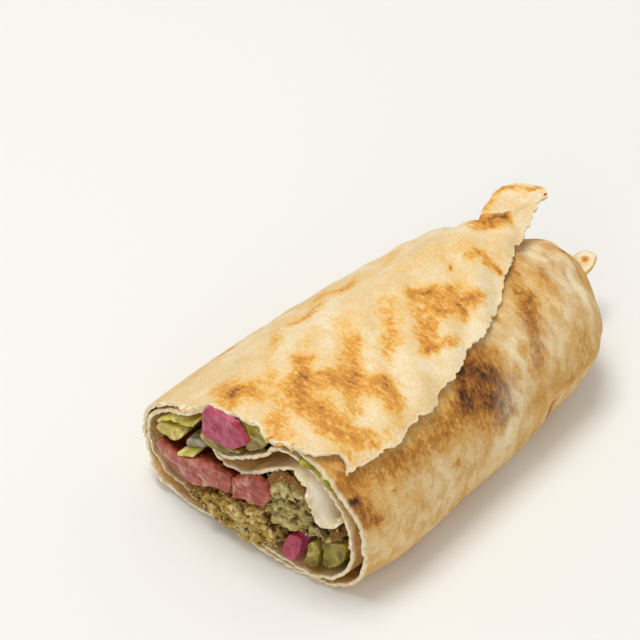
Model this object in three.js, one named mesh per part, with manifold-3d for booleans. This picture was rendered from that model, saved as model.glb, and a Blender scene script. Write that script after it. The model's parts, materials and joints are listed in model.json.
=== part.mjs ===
// Half of a falafel wrap: a thin flatbread rolled round its filling, cut across, lying on its side.
// Millimetres, +Z up. The cut faces -Y, the folded end +Y, and the wrap lies on the plane z = 0.
//
// Everything is drawn in the flat section (x, z) of the cut, and place() carries a section point to its
// height along the roll: what is clear of its neighbour in the section stays clear of it all the way.
import * as THREE from "three";
import { mergeVertices } from "three/addons/utils/BufferGeometryUtils.js";
import Module from "manifold-3d";

// Driving dimensions.
const LENGTH = 105.5; // from the cut's plane to the crown of the folded end
const SHEET = 1.15; // thickness of the flatbread
const ROLL_END = 86; // the layers run this far and the folded end closes them
const FILLING_END = 80; // the filling runs this far
const LEAF_END = 60; // and the lettuce this far
const LEAF = 0.7; // thickness of a lettuce leaf

// The roll narrows towards the folded end. Its right side stays straight, so it shrinks towards that side.
const STRAIGHT_SIDE_X = 38;
const NARROWING = 0.175;
const NARROWING_POWER = 1.8;
const LOWERING = 0.07;
// The cut pinches the roll: behind it the roll swells, to the right and at its upper left shoulder.
const SWELL_RIGHT = 2.6;
const SWELL_SHOULDER = 0.075; // as a share of the height
const SHOULDER = { x: -17, width: 10 };
const SWELL_Y = 16;
// Towards the folded end the roll is tucked in at its lower right.
const TUCK = { depth: 4.5, top: 22, from: 56, to: 88 };

// The folded end is a blunt pleated dome about this centre.
const DOME_START = 81.5;
const DOME_CENTRE = { x: 13.5, z: 20.5 };
const BLUNTNESS = 2.4;
const PLEATS = 7;
const PLEAT_DEPTH = 0.03; // as a share of the end's radius
// How much lower the crown is to each side of its ridge, as a share of its height: from an x, over a width.
const SLOPE_LEFT = { drop: 0.2, from: 14, over: 12 };
const SLOPE_RIGHT = { drop: 0.13, from: 20, over: 8 };

// The cut bulges forward in the middle.
const CUT_CENTRE_X = -8;
const CUT_HALF_WIDTH = 46;
const CUT_FORWARD = 5.5;
const CUT_BACK_AT_EDGE = 1;

// One turn of the rolled sheet in the section, its middle line: from the top round by the left, below and the
// right. The third number is how far the knife left it behind (+) or in front of (-) the cut's own surface.
const TURN = [
  [4, 44.4, 1], [-4.5, 43.4, 1.2], [-10.4, 41.6, 1.4], [-14.2, 38.6, 0.8], [-17.8, 35.9, -0.4], [-25.9, 30.8, 0],
  [-31.4, 25, -0.2], [-33.9, 17.5, 0], [-32.8, 9.6, 0.3], [-27.4, 3.6, 1], [-17.5, 0.6, 2.8], [-2, 0.56, 3.8],
  [13, 0.56, 2], [26.6, 1, 0.3], [33.4, 6.4, 0], [35.4, 14.5, -0.3], [34.9, 24.2, -0.6], [31, 33.4, -0.7],
  [24.3, 40.4, 0], [15, 43.8, 1.2],
];
// The sheet is wound from its loose edge, a part of a turn before the top, to the top of the second turn.
const WINDING = { from: -0.131, to: 1.94, steps: 64 };
// How far inwards of TURN the sheet lies, by the number of turns: the flap rides outside, the second turn inside.
const INWARDS = [
  [-0.131, -2.6], [-0.06, -1.8], [0.03, -1.65], [0.1, 0], [1, 0], [1.04, 0], [1.1, 1.5], [1.2, 1.9],
  [1.34, 2.1], [1.42, 1.7], [1.6, 1.7], [1.67, 3.3], [1.78, 3.2], [1.86, 2.6], [1.94, 2.9],
];
// How far behind the turn's own cut the sheet's edge lies, by the number of turns: the flap's corner is torn back
// and the rest of its edge hangs over the cut.
const TORN = [[-0.131, 4], [-0.09, 0.6], [-0.055, -2], [0.118, -1.8], [0.15, 0], [2, 0]];
// From the top of the second turn the sheet folds down into the filling and back, to an upturned lobe.
const FOLD = [
  [10.5, 40.9, 0.4], [8.2, 37.4, 0], [-0.3, 31, 0], [-5, 28.4, 0.2], [-8.6, 27.1, 0.6], [-5.6, 25.6, 0.4],
  [-0.5, 25.9, 0], [4.5, 28.9, -0.4], [14.4, 36.9, -0.4], [18.6, 38.1, -0.4], [22, 36.4, -0.6], [24.3, 32, -1],
  [25.9, 27.6, -1.4], [27.8, 25.4, -1.6], [29.4, 26, -1.4], [29.2, 27.8, -1],
];
const SHEET_STEPS = 150;
const SHEET_ROWS = 9;

// The flap's loose edge is an arc of the round bread, so the flap narrows towards the folded end.
const FLAP_NARROWING = 23.5;
const FLAP_NARROWING_Y = 84;
const FLAP_NARROWING_POWER = 2.5;

// Towards the folded end the flap and the turn beside it lie loose, higher than the roll: how high, from where to
// where along it, how soon behind the loose edge, and how far along the sheet.
const LIFT = { height: 3.1, from: 5, to: 84, edge: 9, until: 55, over: 20 };

// The flap's far corner sticks out past the folded end as a loose ear, rooted in the flap.
const EAR_ROOT = [81, 83.5, 85.5];
const EAR_ROOT_REACH = 41; // how far from the sheet's loose edge the root reaches
// Past the root: y, left x, right x and height.
const EAR = [
  [88.5, -0.6, 11.8, 43.4], [92, -2.8, 10.6, 42.7], [96, -3.8, 9.4, 43], [100, -4, 8.3, 44.1],
  [103.5, -2.4, 7.9, 44.9], [105.6, 0.4, 7.4, 45], [106.6, 3.2, 6.2, 44.8],
];
const EAR_STEPS = 6;
const EAR_ARCH = 1.4;
// The root lies just within the sheet: half its thickness, as a share of the sheet's, and its gap to the edge.
const EAR_ROOT_HALF = 0.46;
const EAR_ROOT_GAP = 0.2;

// A corner of the tucked-in bread shows at the far end.
const TAB = { x: 16, z: 16.4, y0: 102, y1: 118, width: 8.5, taper: 0.45, rounding: 6, rise: 2.5, steps: 5 };

// The folded end closes the body this far inside the outer face of the first turn.
const DOME_INSET = 0.2;
const DOME_STEPS = 48;
const DOME_ROWS = 8;

const COLOURS = {
  bread: 0xe3c48f,
  falafel: 0x8e8149,
  tomato: 0xc25a4f,
  turnip: 0xcf5583,
  pickle: 0x9aa04f,
  cucumber: 0xb4b898,
  lettuce: 0x8fa63a,
};

// How rough a cut face is, and how many points its outline has.
const CRUMBLY = { rough: 0.9, steps: 34 };
const CLEAN = { rough: 0.25, steps: 20 };
const PIECE_RADIUS = 14; // the roughness of an outline is a share of this
const FACE_RINGS = [0.3, 0.62, 0.95]; // the rings of a cut face, as shares of the outline
const LENGTH_RINGS = [0.03, 0.3, 0.6, 0.9]; // and the rings behind it, as shares of the length
const PIECE_TAPER = 0.03;
const FAR_RING = 0.7; // how small the far end is

// Each piece of filling: its outline in the section, what it is, and how far its cut face stands in front.
const FILLING = {
  falafel_left: {
    food: "falafel",
    front: 1.6,
    outline: [
      [-17.4, 7], [-14.6, 9.4], [-11.4, 11.8], [-5.8, 14.4], [-1.8, 16.6], [2.8, 18.6], [6.8, 20], [9.2, 19.4],
      [9.6, 16.8], [12, 14.6], [12.2, 9], [11.6, 4.4], [4, 3.3], [-5, 3.2], [-12.4, 3.3], [-16.6, 4.6],
    ],
  },
  falafel_right: {
    food: "falafel",
    front: 1.4,
    outline: [
      [10.9, 29.6], [13.6, 34.4], [18, 36.6], [21, 35], [22.9, 31], [24.7, 26.6], [27.2, 24], [30, 23.8],
      [30.8, 21], [28.4, 18.7], [24, 17.2], [20, 16.4], [14.6, 16], [11.4, 16.8], [10.8, 20], [10.7, 25],
    ],
  },
  tomato_left: {
    food: "tomato",
    front: 1.6,
    outline: [
      [-28.8, 16.4], [-27.6, 18.6], [-24, 18.7], [-20, 18.9], [-16.4, 20.2], [-13, 22.4], [-9.6, 24.2], [-5, 24.4],
      [-0.9, 24.5], [-0.5, 21], [-1, 18.4], [-5.8, 16.2], [-11.2, 13.4], [-15.4, 11.2], [-19, 11.6], [-23, 12.3],
      [-27, 14],
    ],
  },
  tomato_right: {
    food: "tomato",
    front: 2.2,
    outline: [
      [0.5, 24.6], [3.6, 26.4], [7.4, 28.7], [9.7, 28], [9.8, 24.2], [8.2, 22.2], [4.4, 20.7], [0.5, 19.2],
    ],
  },
  turnip_top: {
    food: "turnip",
    front: 2,
    outline: [
      [-10.8, 36.4], [-9.8, 38.4], [-7.4, 40.2], [-3.6, 41.9], [0.4, 42.8], [2.2, 41.4], [3.1, 39.2], [2.4, 37.4],
      [1.2, 36.3], [-2.1, 34.9], [-8.4, 33.9], [-10.2, 34.8],
    ],
  },
  turnip_bottom: {
    food: "turnip",
    front: 0.6,
    outline: [
      [13.5, 3.8], [13.2, 7], [14.2, 11], [15.2, 13.6], [17.4, 14.8], [19, 13.8], [18.7, 10.6], [17.8, 6.8],
      [16.4, 3.7],
    ],
  },
  pickle_top_left: {
    food: "pickle",
    front: 0.2,
    outline: [
      [-28.8, 21], [-27.2, 23.6], [-23.8, 25.8], [-20, 27], [-17.9, 26.6], [-19.1, 24], [-21, 21.4], [-23.4, 20.2],
      [-26.4, 19.8], [-28.6, 19.9],
    ],
  },
  pickle_top_right: {
    food: "pickle",
    front: 0.4,
    outline: [[3.9, 42.7], [6.4, 43], [9.2, 42.4], [8.2, 39.6], [6.2, 37.4], [4.4, 36.6], [3.6, 37.2], [4.2, 39.6]],
  },
  pickle_under_turnip: {
    food: "pickle",
    front: 0.8,
    outline: [
      [-12.4, 31.6], [-11.4, 29.6], [-7, 29.3], [-1.2, 32.2], [2.3, 34.6], [1.7, 35.3], [-2.4, 33.6], [-8.6, 32.5],
    ],
  },
  pickle_bottom_left: {
    food: "pickle",
    front: 0,
    outline: [
      [18.5, 3.9], [19.4, 7], [19.9, 10.5], [20.3, 13], [21.9, 14.8], [23, 13.4], [23.3, 9], [22.5, 4.8],
    ],
  },
  pickle_bottom_right: {
    food: "pickle",
    front: -0.4,
    outline: [
      [24.2, 5.8], [24, 10.6], [23.8, 15.2], [26.6, 16.7], [29.8, 17.9], [30.6, 15.4], [29.6, 11], [27.6, 7.8],
    ],
  },
  cucumber: {
    food: "cucumber",
    front: -0.4,
    outline: [
      [-16.6, 25.6], [-14.2, 27.1], [-11.6, 28], [-10.8, 27], [-12.4, 25.2], [-15.2, 23.5], [-17.8, 22.4],
      [-18.5, 23.1], [-17.8, 24.4],
    ],
  },
};

// A leaf's points along and across it, how wavy it is and how uneven its cut edge.
const LEAF_ROWS = 8;
const LEAF_COLUMNS = 9;
const LEAF_WAVE = 0.12;
const LEAF_UNEVEN = 0.5;

// Each leaf: its middle line in the section.
const LEAVES = {
  lettuce_top: { front: 0.6, line: [[-26.9, 24.9], [-24, 27.4], [-20.6, 29.3], [-17.2, 30.8], [-14.2, 33]] },
  lettuce_side: { front: -2, line: [[17.8, 41.7], [21.4, 40.6], [24.9, 38.3], [27.8, 35.5], [30.1, 32.6]] },
  lettuce_scrap: { front: 2, line: [[-18.3, 20.5], [-15.9, 21.7], [-13.5, 23.4]] },
};

const wasm = await Module();
wasm.setup();

const smooth = (t) => THREE.MathUtils.smoothstep(t, 0, 1);

// A repeatable value from -1 to 1 for any two whole numbers.
function noise(i, j) {
  const s = Math.sin(i * 127.1 + j * 311.7) * 43758.5453;
  return 2 * (s - Math.floor(s)) - 1;
}

// The value at t of a table of [t, value] rows, eased between rows.
function along(table, t) {
  const next = THREE.MathUtils.clamp(table.findIndex(([at]) => at >= t), 1, table.length - 1);
  const [t0, v0] = table[next - 1];
  const [t1, v1] = table[next];
  return v0 + (v1 - v0) * smooth((t - t0) / (t1 - t0));
}

// The cut's own surface: its y at a section x.
function cutFace(x) {
  const t = (x - CUT_CENTRE_X) / CUT_HALF_WIDTH;
  return (CUT_FORWARD + CUT_BACK_AT_EDGE) * t * t - CUT_FORWARD;
}

// Carries the section point (x, z) to the height y along the roll. front is where that point's own cut lies.
function place(x, z, y, front = 0) {
  const t = y / ROLL_END;
  const swell = smooth(y / SWELL_Y);
  const width = 1 - NARROWING * Math.max(0, t) ** NARROWING_POWER;
  const height = 1 - LOWERING * t * t;
  const shoulder = Math.exp(-(((x - SHOULDER.x) / SHOULDER.width) ** 2));
  const rightwards = (x - CUT_CENTRE_X + CUT_HALF_WIDTH) / (2 * CUT_HALF_WIDTH);
  const tuck = TUCK.depth * smooth((y - TUCK.from) / (TUCK.to - TUCK.from)) * Math.max(0, 1 - z / TUCK.top);
  const swollenX = x + (SWELL_RIGHT * swell - tuck) * rightwards;
  const swollenZ = z * (1 + SWELL_SHOULDER * swell * shoulder);
  const fade = (1 - Math.min(1, t)) ** 2;
  return new THREE.Vector3(
    STRAIGHT_SIDE_X - (STRAIGHT_SIDE_X - swollenX) * width,
    y + (cutFace(x) + front) * fade,
    Math.max(0, swollenZ * height),
  );
}

// A smooth curve through section points; a third number in a point is carried along as the curve's y.
function curve(points, closed = false) {
  const through = points.map(([x, z, front = 0]) => new THREE.Vector3(x, front, z));
  return new THREE.CatmullRomCurve3(through, closed, "catmullrom", 0.5);
}

// The unit normal of a section curve at t, to the left of its direction.
function normalAt(line, t) {
  const d = line.getTangentAt(t);
  return new THREE.Vector3(-d.z, 0, d.x).normalize();
}

// A closed solid from rings of equal length, with both ends closed by fans.
function loft(rings, startCentre, endCentre) {
  const steps = rings[0].length;
  const points = [...rings.flat(), startCentre, endCentre];
  const at = (row, step) => row * steps + (step % steps);
  const start = points.length - 2;
  const end = points.length - 1;
  const faces = [];
  for (let step = 0; step < steps; step++) {
    faces.push(start, at(0, step + 1), at(0, step));
    for (let row = 0; row + 1 < rings.length; row++) {
      faces.push(at(row, step), at(row, step + 1), at(row + 1, step + 1));
      faces.push(at(row, step), at(row + 1, step + 1), at(row + 1, step));
    }
    faces.push(end, at(rings.length - 1, step), at(rings.length - 1, step + 1));
  }
  return solid(points, faces);
}

// A closed solid from two equal grids of points, the two faces of a sheet.
function sheet(left, right) {
  const rows = left.length;
  const columns = left[0].length;
  const points = [...left.flat(), ...right.flat()];
  const at = (side, row, column) => side * rows * columns + row * columns + column;
  const faces = [];
  const quad = (a, b, c, d) => faces.push(a, b, c, a, c, d);
  for (let row = 0; row + 1 < rows; row++)
    for (let column = 0; column + 1 < columns; column++) {
      quad(at(0, row, column), at(0, row + 1, column), at(0, row + 1, column + 1), at(0, row, column + 1));
      quad(at(1, row, column), at(1, row, column + 1), at(1, row + 1, column + 1), at(1, row + 1, column));
    }
  for (let row = 0; row + 1 < rows; row++) {
    quad(at(0, row, 0), at(1, row, 0), at(1, row + 1, 0), at(0, row + 1, 0));
    const last = columns - 1;
    quad(at(0, row, last), at(0, row + 1, last), at(1, row + 1, last), at(1, row, last));
  }
  for (let column = 0; column + 1 < columns; column++) {
    quad(at(0, 0, column), at(0, 0, column + 1), at(1, 0, column + 1), at(1, 0, column));
    const last = rows - 1;
    quad(at(0, last, column), at(1, last, column), at(1, last, column + 1), at(0, last, column + 1));
  }
  return solid(points, faces);
}

// A manifold-3d solid, its faces turned outwards.
function solid(points, faces) {
  const geometry = new THREE.BufferGeometry().setFromPoints(points).setIndex(faces);
  const merged = mergeVertices(geometry, 1e-4);
  const make = (indices) =>
    new wasm.Manifold(
      new wasm.Mesh({
        numProp: 3,
        vertProperties: merged.attributes.position.array,
        triVerts: new Uint32Array(indices),
      }),
    );
  const made = make(merged.index.array);
  return made.volume() > 0 ? made : make([...merged.index.array].reverse());
}

function meshOf(name, made, colour, roughness) {
  const { vertProperties, triVerts } = made.getMesh();
  const geometry = new THREE.BufferGeometry();
  geometry.setAttribute("position", new THREE.BufferAttribute(vertProperties, 3));
  geometry.setIndex(new THREE.BufferAttribute(triVerts, 1));
  geometry.computeVertexNormals();
  const mesh = new THREE.Mesh(geometry, new THREE.MeshStandardMaterial({ color: colour, roughness }));
  mesh.name = name;
  return mesh;
}

const turn = curve(TURN, true);

// The point of the section reached after a number of turns, moved inwards of TURN.
function wound(turns, inwards, front = 0) {
  const t = turns - Math.floor(turns);
  const n = normalAt(turn, t);
  const p = turn.getPointAt(t);
  return [p.x + n.x * inwards, p.z + n.z * inwards, p.y + front];
}

const windingPoints = Array.from({ length: WINDING.steps + 1 }, (_, step) => {
  const turns = THREE.MathUtils.lerp(WINDING.from, WINDING.to, step / WINDING.steps);
  return wound(turns, along(INWARDS, turns), along(TORN, turns));
});
const roll = curve([...windingPoints, ...FOLD]);
roll.arcLengthDivisions = 1500;
const rollLength = roll.getLength();

// How far along the sheet its loose edge lies at the height y.
const looseEdge = (y) => FLAP_NARROWING * (Math.max(0, y) / FLAP_NARROWING_Y) ** FLAP_NARROWING_POWER;

// How much higher than the roll the sheet lies at the arc length s and the height y.
function lift(s, y) {
  const lengthways = smooth((y - LIFT.from) / (LIFT.to - LIFT.from));
  const across = smooth((s - looseEdge(y) + 1) / LIFT.edge) * (1 - smooth((s - LIFT.until) / LIFT.over));
  return LIFT.height * lengthways * across;
}

// The point of the rolled sheet at the arc length s and the height y, moved off its middle by offset.
function onRoll(s, y, offset) {
  const t = Math.min(1, s / rollLength);
  const p = roll.getPointAt(t);
  const n = normalAt(roll, t);
  const point = place(p.x + n.x * offset, p.z + n.z * offset, y, p.y);
  point.z += lift(s, y);
  return point;
}

function rolledSheet() {
  const faces = [-1, 1].map((side) =>
    Array.from({ length: SHEET_ROWS }, (_, row) =>
      Array.from({ length: SHEET_STEPS + 1 }, (_, step) => {
        const y = (ROLL_END * row) / (SHEET_ROWS - 1);
        const start = looseEdge(y);
        return onRoll(start + ((rollLength - start) * step) / SHEET_STEPS, y, (side * SHEET) / 2);
      }),
    ),
  );
  return sheet(faces[0], faces[1]);
}

// The folded end: the body's outline, closed by a pleated dome.
function foldedEnd() {
  const outline = Array.from({ length: DOME_STEPS }, (_, step) => wound(step / DOME_STEPS, DOME_INSET - SHEET / 2));
  const rings = Array.from({ length: DOME_ROWS }, (_, row) => {
    const angle = (row / DOME_ROWS) * (Math.PI / 2);
    const rise = Math.sin(angle) ** (2 / BLUNTNESS);
    const shrink = Math.cos(angle) ** (2 / BLUNTNESS);
    const y = DOME_START + (LENGTH - DOME_START) * rise;
    return outline.map(([x, z], step) => {
      const flat = place(x, z, Math.min(y, ROLL_END));
      const wave = 1 + Math.sin((step / DOME_STEPS) * PLEATS * 2 * Math.PI);
      const scale = shrink * (1 - PLEAT_DEPTH * rise * wave);
      const out = DOME_CENTRE.x + (flat.x - DOME_CENTRE.x) * scale;
      const up = Math.max(0, DOME_CENTRE.z + (flat.z - DOME_CENTRE.z) * scale);
      const left = SLOPE_LEFT.drop * smooth((SLOPE_LEFT.from - out) / SLOPE_LEFT.over);
      const right = SLOPE_RIGHT.drop * smooth((out - SLOPE_RIGHT.from) / SLOPE_RIGHT.over);
      return new THREE.Vector3(out, y, up * (1 - rise * (left + right)));
    });
  });
  return loft(
    rings,
    new THREE.Vector3(DOME_CENTRE.x, DOME_START, DOME_CENTRE.z),
    new THREE.Vector3(DOME_CENTRE.x, LENGTH, DOME_CENTRE.z),
  );
}

// The flap's far corner, past the folded end.
function ear() {
  const steps = Array.from({ length: EAR_STEPS + 1 }, (_, step) => step / EAR_STEPS);
  const faces = [1, -1].map((side) => [
    ...EAR_ROOT.map((y) =>
      steps.map((across) => {
        const s = THREE.MathUtils.lerp(EAR_ROOT_REACH, looseEdge(y) + EAR_ROOT_GAP, across);
        return onRoll(s, y, side * EAR_ROOT_HALF * SHEET);
      }),
    ),
    ...EAR.map(([y, left, right, z]) =>
      steps.map((across) => {
        const drop = EAR_ARCH * (1 - across) ** 2;
        return new THREE.Vector3(THREE.MathUtils.lerp(left, right, across), y, z - drop - (side * SHEET) / 2);
      }),
    ),
  ]);
  return sheet(faces[0], faces[1]);
}

// The corner of the tucked-in bread that shows past the folded end.
function tab() {
  const { steps } = TAB;
  const faces = [-1, 1].map((side) =>
    Array.from({ length: steps }, (_, row) =>
      Array.from({ length: steps }, (_, step) => {
        const t = row / (steps - 1);
        const across = step / (steps - 1) - 0.5;
        const width = TAB.width * (1 - TAB.taper * t * t);
        return new THREE.Vector3(
          TAB.x + across * width,
          THREE.MathUtils.lerp(TAB.y0, TAB.y1, t) - TAB.rounding * across * across * t,
          TAB.z + TAB.rise * (t * t + 2 * across * across) + (side * SHEET) / 2,
        );
      }),
    ),
  );
  return sheet(faces[0], faces[1]);
}

// A piece of filling: its outline run along the roll, rounded off at the far end, with a rough cut face.
function fillingPiece({ outline, front, food }, index) {
  const { rough, steps } = food === "falafel" ? CRUMBLY : CLEAN;
  const ring = curve(outline, true).getSpacedPoints(steps).slice(0, steps);
  const centre = ring.reduce((sum, p) => sum.addScaledVector(p, 1 / steps), new THREE.Vector3());
  const ringAt = (y, scale, row) =>
    ring.map((p, step) => {
      const wander = (rough / PIECE_RADIUS) * (1 + noise(step + 50 * index, row));
      const inset = scale * (1 - wander * (row < FACE_RINGS.length ? 0.5 : 1));
      const x = centre.x + (p.x - centre.x) * inset;
      const z = centre.z + (p.z - centre.z) * inset;
      const relief = y < 1 ? rough * noise(step * 3 + row, index + 7) : 0;
      return place(x, z, Math.max(0, y), relief - front);
    });
  const rings = [
    ...FACE_RINGS.map((scale, row) => ringAt(0, scale, row)),
    ...LENGTH_RINGS.map((t, row) => ringAt(FILLING_END * t, 1 - PIECE_TAPER * t, row + FACE_RINGS.length)),
    ringAt(FILLING_END, FAR_RING, FACE_RINGS.length + LENGTH_RINGS.length),
  ];
  const middle = (y) => place(centre.x, centre.z, y, y ? 0 : -front - rough * 0.5);
  return loft(rings, middle(0), middle(FILLING_END));
}

// A leaf: a thin wavy sheet along its middle line.
function leaf({ line, front }, index) {
  const middle = curve(line);
  const faces = [-1, 1].map((side) =>
    Array.from({ length: LEAF_ROWS }, (_, row) =>
      Array.from({ length: LEAF_COLUMNS }, (_, column) => {
        const t = column / (LEAF_COLUMNS - 1);
        const y = (LEAF_END * row) / (LEAF_ROWS - 1);
        const p = middle.getPointAt(t);
        const n = normalAt(middle, t);
        const wave = LEAF_WAVE * Math.sin(row * 2.1 + column * 0.9 + index);
        const at = p.addScaledVector(n, (side * LEAF) / 2 + wave);
        return place(at.x, at.z, y, -front + LEAF_UNEVEN * noise(column, index));
      }),
    ),
  );
  return sheet(faces[0], faces[1]);
}

const wrap = new THREE.Group();
wrap.name = "falafel_wrap";

const bread = [foldedEnd(), ear(), tab()].reduce((whole, piece) => whole.add(piece), rolledSheet());
wrap.add(meshOf("flatbread", bread, COLOURS.bread, 0.75));
Object.entries(FILLING).forEach(([name, piece], index) =>
  wrap.add(meshOf(name, fillingPiece(piece, index), COLOURS[piece.food], 0.5)),
);
Object.entries(LEAVES).forEach(([name, piece], index) =>
  wrap.add(meshOf(name, leaf(piece, index), COLOURS.lettuce, 0.45)),
);

// The origin is under the middle of the wrap's box.
const middle = new THREE.Box3().setFromObject(wrap).getCenter(new THREE.Vector3());
wrap.position.set(-middle.x, -middle.y, 0);

export default wrap;
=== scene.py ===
"""Half of a falafel wrap: the finished look of its flatbread and filling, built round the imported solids."""

import json
import math

import bmesh
import bpy
import numpy as np
from mathutils import Matrix, Vector
from mathutils.kdtree import KDTree

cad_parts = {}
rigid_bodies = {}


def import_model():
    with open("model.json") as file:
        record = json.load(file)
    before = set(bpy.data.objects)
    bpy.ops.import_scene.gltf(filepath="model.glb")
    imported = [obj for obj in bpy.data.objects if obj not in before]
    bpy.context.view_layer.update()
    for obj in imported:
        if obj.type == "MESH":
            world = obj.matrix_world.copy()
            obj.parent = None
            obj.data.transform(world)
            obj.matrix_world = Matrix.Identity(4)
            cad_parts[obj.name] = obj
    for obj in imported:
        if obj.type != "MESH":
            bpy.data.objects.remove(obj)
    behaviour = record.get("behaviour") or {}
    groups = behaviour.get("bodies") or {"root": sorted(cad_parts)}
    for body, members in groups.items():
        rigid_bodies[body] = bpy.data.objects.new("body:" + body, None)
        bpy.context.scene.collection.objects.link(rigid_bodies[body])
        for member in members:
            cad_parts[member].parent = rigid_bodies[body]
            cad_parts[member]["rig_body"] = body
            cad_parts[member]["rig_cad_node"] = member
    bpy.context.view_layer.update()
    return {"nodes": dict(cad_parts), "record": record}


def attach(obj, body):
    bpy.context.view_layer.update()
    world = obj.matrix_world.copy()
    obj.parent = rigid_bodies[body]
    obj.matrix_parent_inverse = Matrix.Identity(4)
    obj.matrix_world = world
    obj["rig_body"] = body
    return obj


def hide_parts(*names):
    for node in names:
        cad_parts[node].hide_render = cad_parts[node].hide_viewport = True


bl_info = {
    "name": "Falafel wrap half",
    "version": (1, 0, 0),
    "blender": (4, 5, 0),
    "location": "View3D > Sidebar > Falafel wrap",
    "description": "Rolled grilled flatbread with its falafel, vegetable and sauce filling",
    "category": "Object",
}

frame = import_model()

MM = 0.001
# The rolled shape is drawn about the cut; this point of it is the frame's origin, in millimetres.
ORIGIN = np.array([2.0368, 55.1001, 0.0])

# ---------------------------------------------------------------- the rolled sheet, in millimetres
ROLL_END = 86.0
CROWN = 105.5
STRAIGHT_SIDE = 38.0
DOME_START = 81.5
DOME_CENTRE = np.array([13.5, 20.5])

# One turn of the sheet in the section: x, z and how far the knife left it behind the cut.
TURN = [
    (4, 44.4, 1), (-4.5, 43.4, 1.2), (-10.4, 41.6, 1.4), (-14.2, 38.6, 0.8), (-17.8, 35.9, -0.4),
    (-25.9, 30.8, 0), (-31.4, 25, -0.2), (-33.9, 17.5, 0), (-32.8, 9.6, 0.3), (-27.4, 3.6, 1),
    (-17.5, 0.6, 2.8), (-2, 0.56, 3.8), (13, 0.56, 2), (26.6, 1, 0.3), (33.4, 6.4, 0), (35.4, 14.5, -0.3),
    (34.9, 24.2, -0.6), (31, 33.4, -0.7), (24.3, 40.4, 0), (15, 43.8, 1.2),
]
WINDING_FROM, WINDING_TO, WINDING_STEPS = -0.131, 1.94, 64
# How far inwards of TURN the sheet lies, by the number of turns.
INWARDS = [
    (-0.131, -2.6), (-0.06, -1.8), (0.03, -1.65), (0.1, 0), (1, 0), (1.04, 0), (1.1, 1.5), (1.2, 1.9),
    (1.34, 2.1), (1.42, 1.7), (1.6, 1.7), (1.67, 3.3), (1.78, 3.2), (1.86, 2.6), (1.94, 2.9),
]
# How far behind the turn's own cut the sheet's edge lies, by the number of turns.
TORN = [(-0.131, 4), (-0.09, 0.6), (-0.055, -2), (0.118, -1.8), (0.15, 0), (2, 0)]
# From the top of the second turn the sheet folds down into the filling and back.
FOLD = [
    (10.5, 40.9, 0.4), (8.2, 37.4, 0), (-0.3, 31, 0), (-5, 28.4, 0.2), (-8.6, 27.1, 0.6), (-5.6, 25.6, 0.4),
    (-0.5, 25.9, 0), (4.5, 28.9, -0.4), (14.4, 36.9, -0.4), (18.6, 38.1, -0.4), (22, 36.4, -0.6),
    (24.3, 32, -1), (25.9, 27.6, -1.4), (27.8, 25.4, -1.6), (29.4, 26, -1.4), (29.2, 27.8, -1),
]
# The flap's far corner past the roll: y, left x, right x and height.
EAR = [
    (88.5, -0.5, 12.5, 45.2), (90.5, -2.2, 11.8, 45), (92, -2.6, 11, 44.9), (95, -3.1, 10, 44.7),
    (98, -3.5, 9.1, 44.7), (101, -3.3, 8.1, 44.9), (104, -1.7, 7.8, 45.2), (105.5, 1.2, 7.2, 45.1),
    (106.6, 3, 6, 45),
]
EAR_WIDTH = 20.5
EAR_LENGTH = 20.6
EAR_ROWS = 15
SHEET_COLUMNS, SHEET_ROWS = 328, 61
# How far the loose edge has curved inwards at the height LOOSE_AT.
LOOSE_ARC, LOOSE_AT = 23.5, 84
# The flap's marks end here along the bread.
FLAP_END = 62
# The folded end: where its foot starts, the share of its rows in the foot, and how square its dome is.
END_START = 78.0
FOOT = 0.12
SQUARENESS = 2 / 2.4
# How far the rims low on the left, and the fold's edge, stand out: x, y and z.
RIM_OUT = np.array([-0.2, -2.8, 0.7])
LIP_OUT = np.array([-1.5, -2.2, 0.1])

# Where the flap becomes the outer turn, in millimetres along the bread.
BODY_FROM = 44.3

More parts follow.
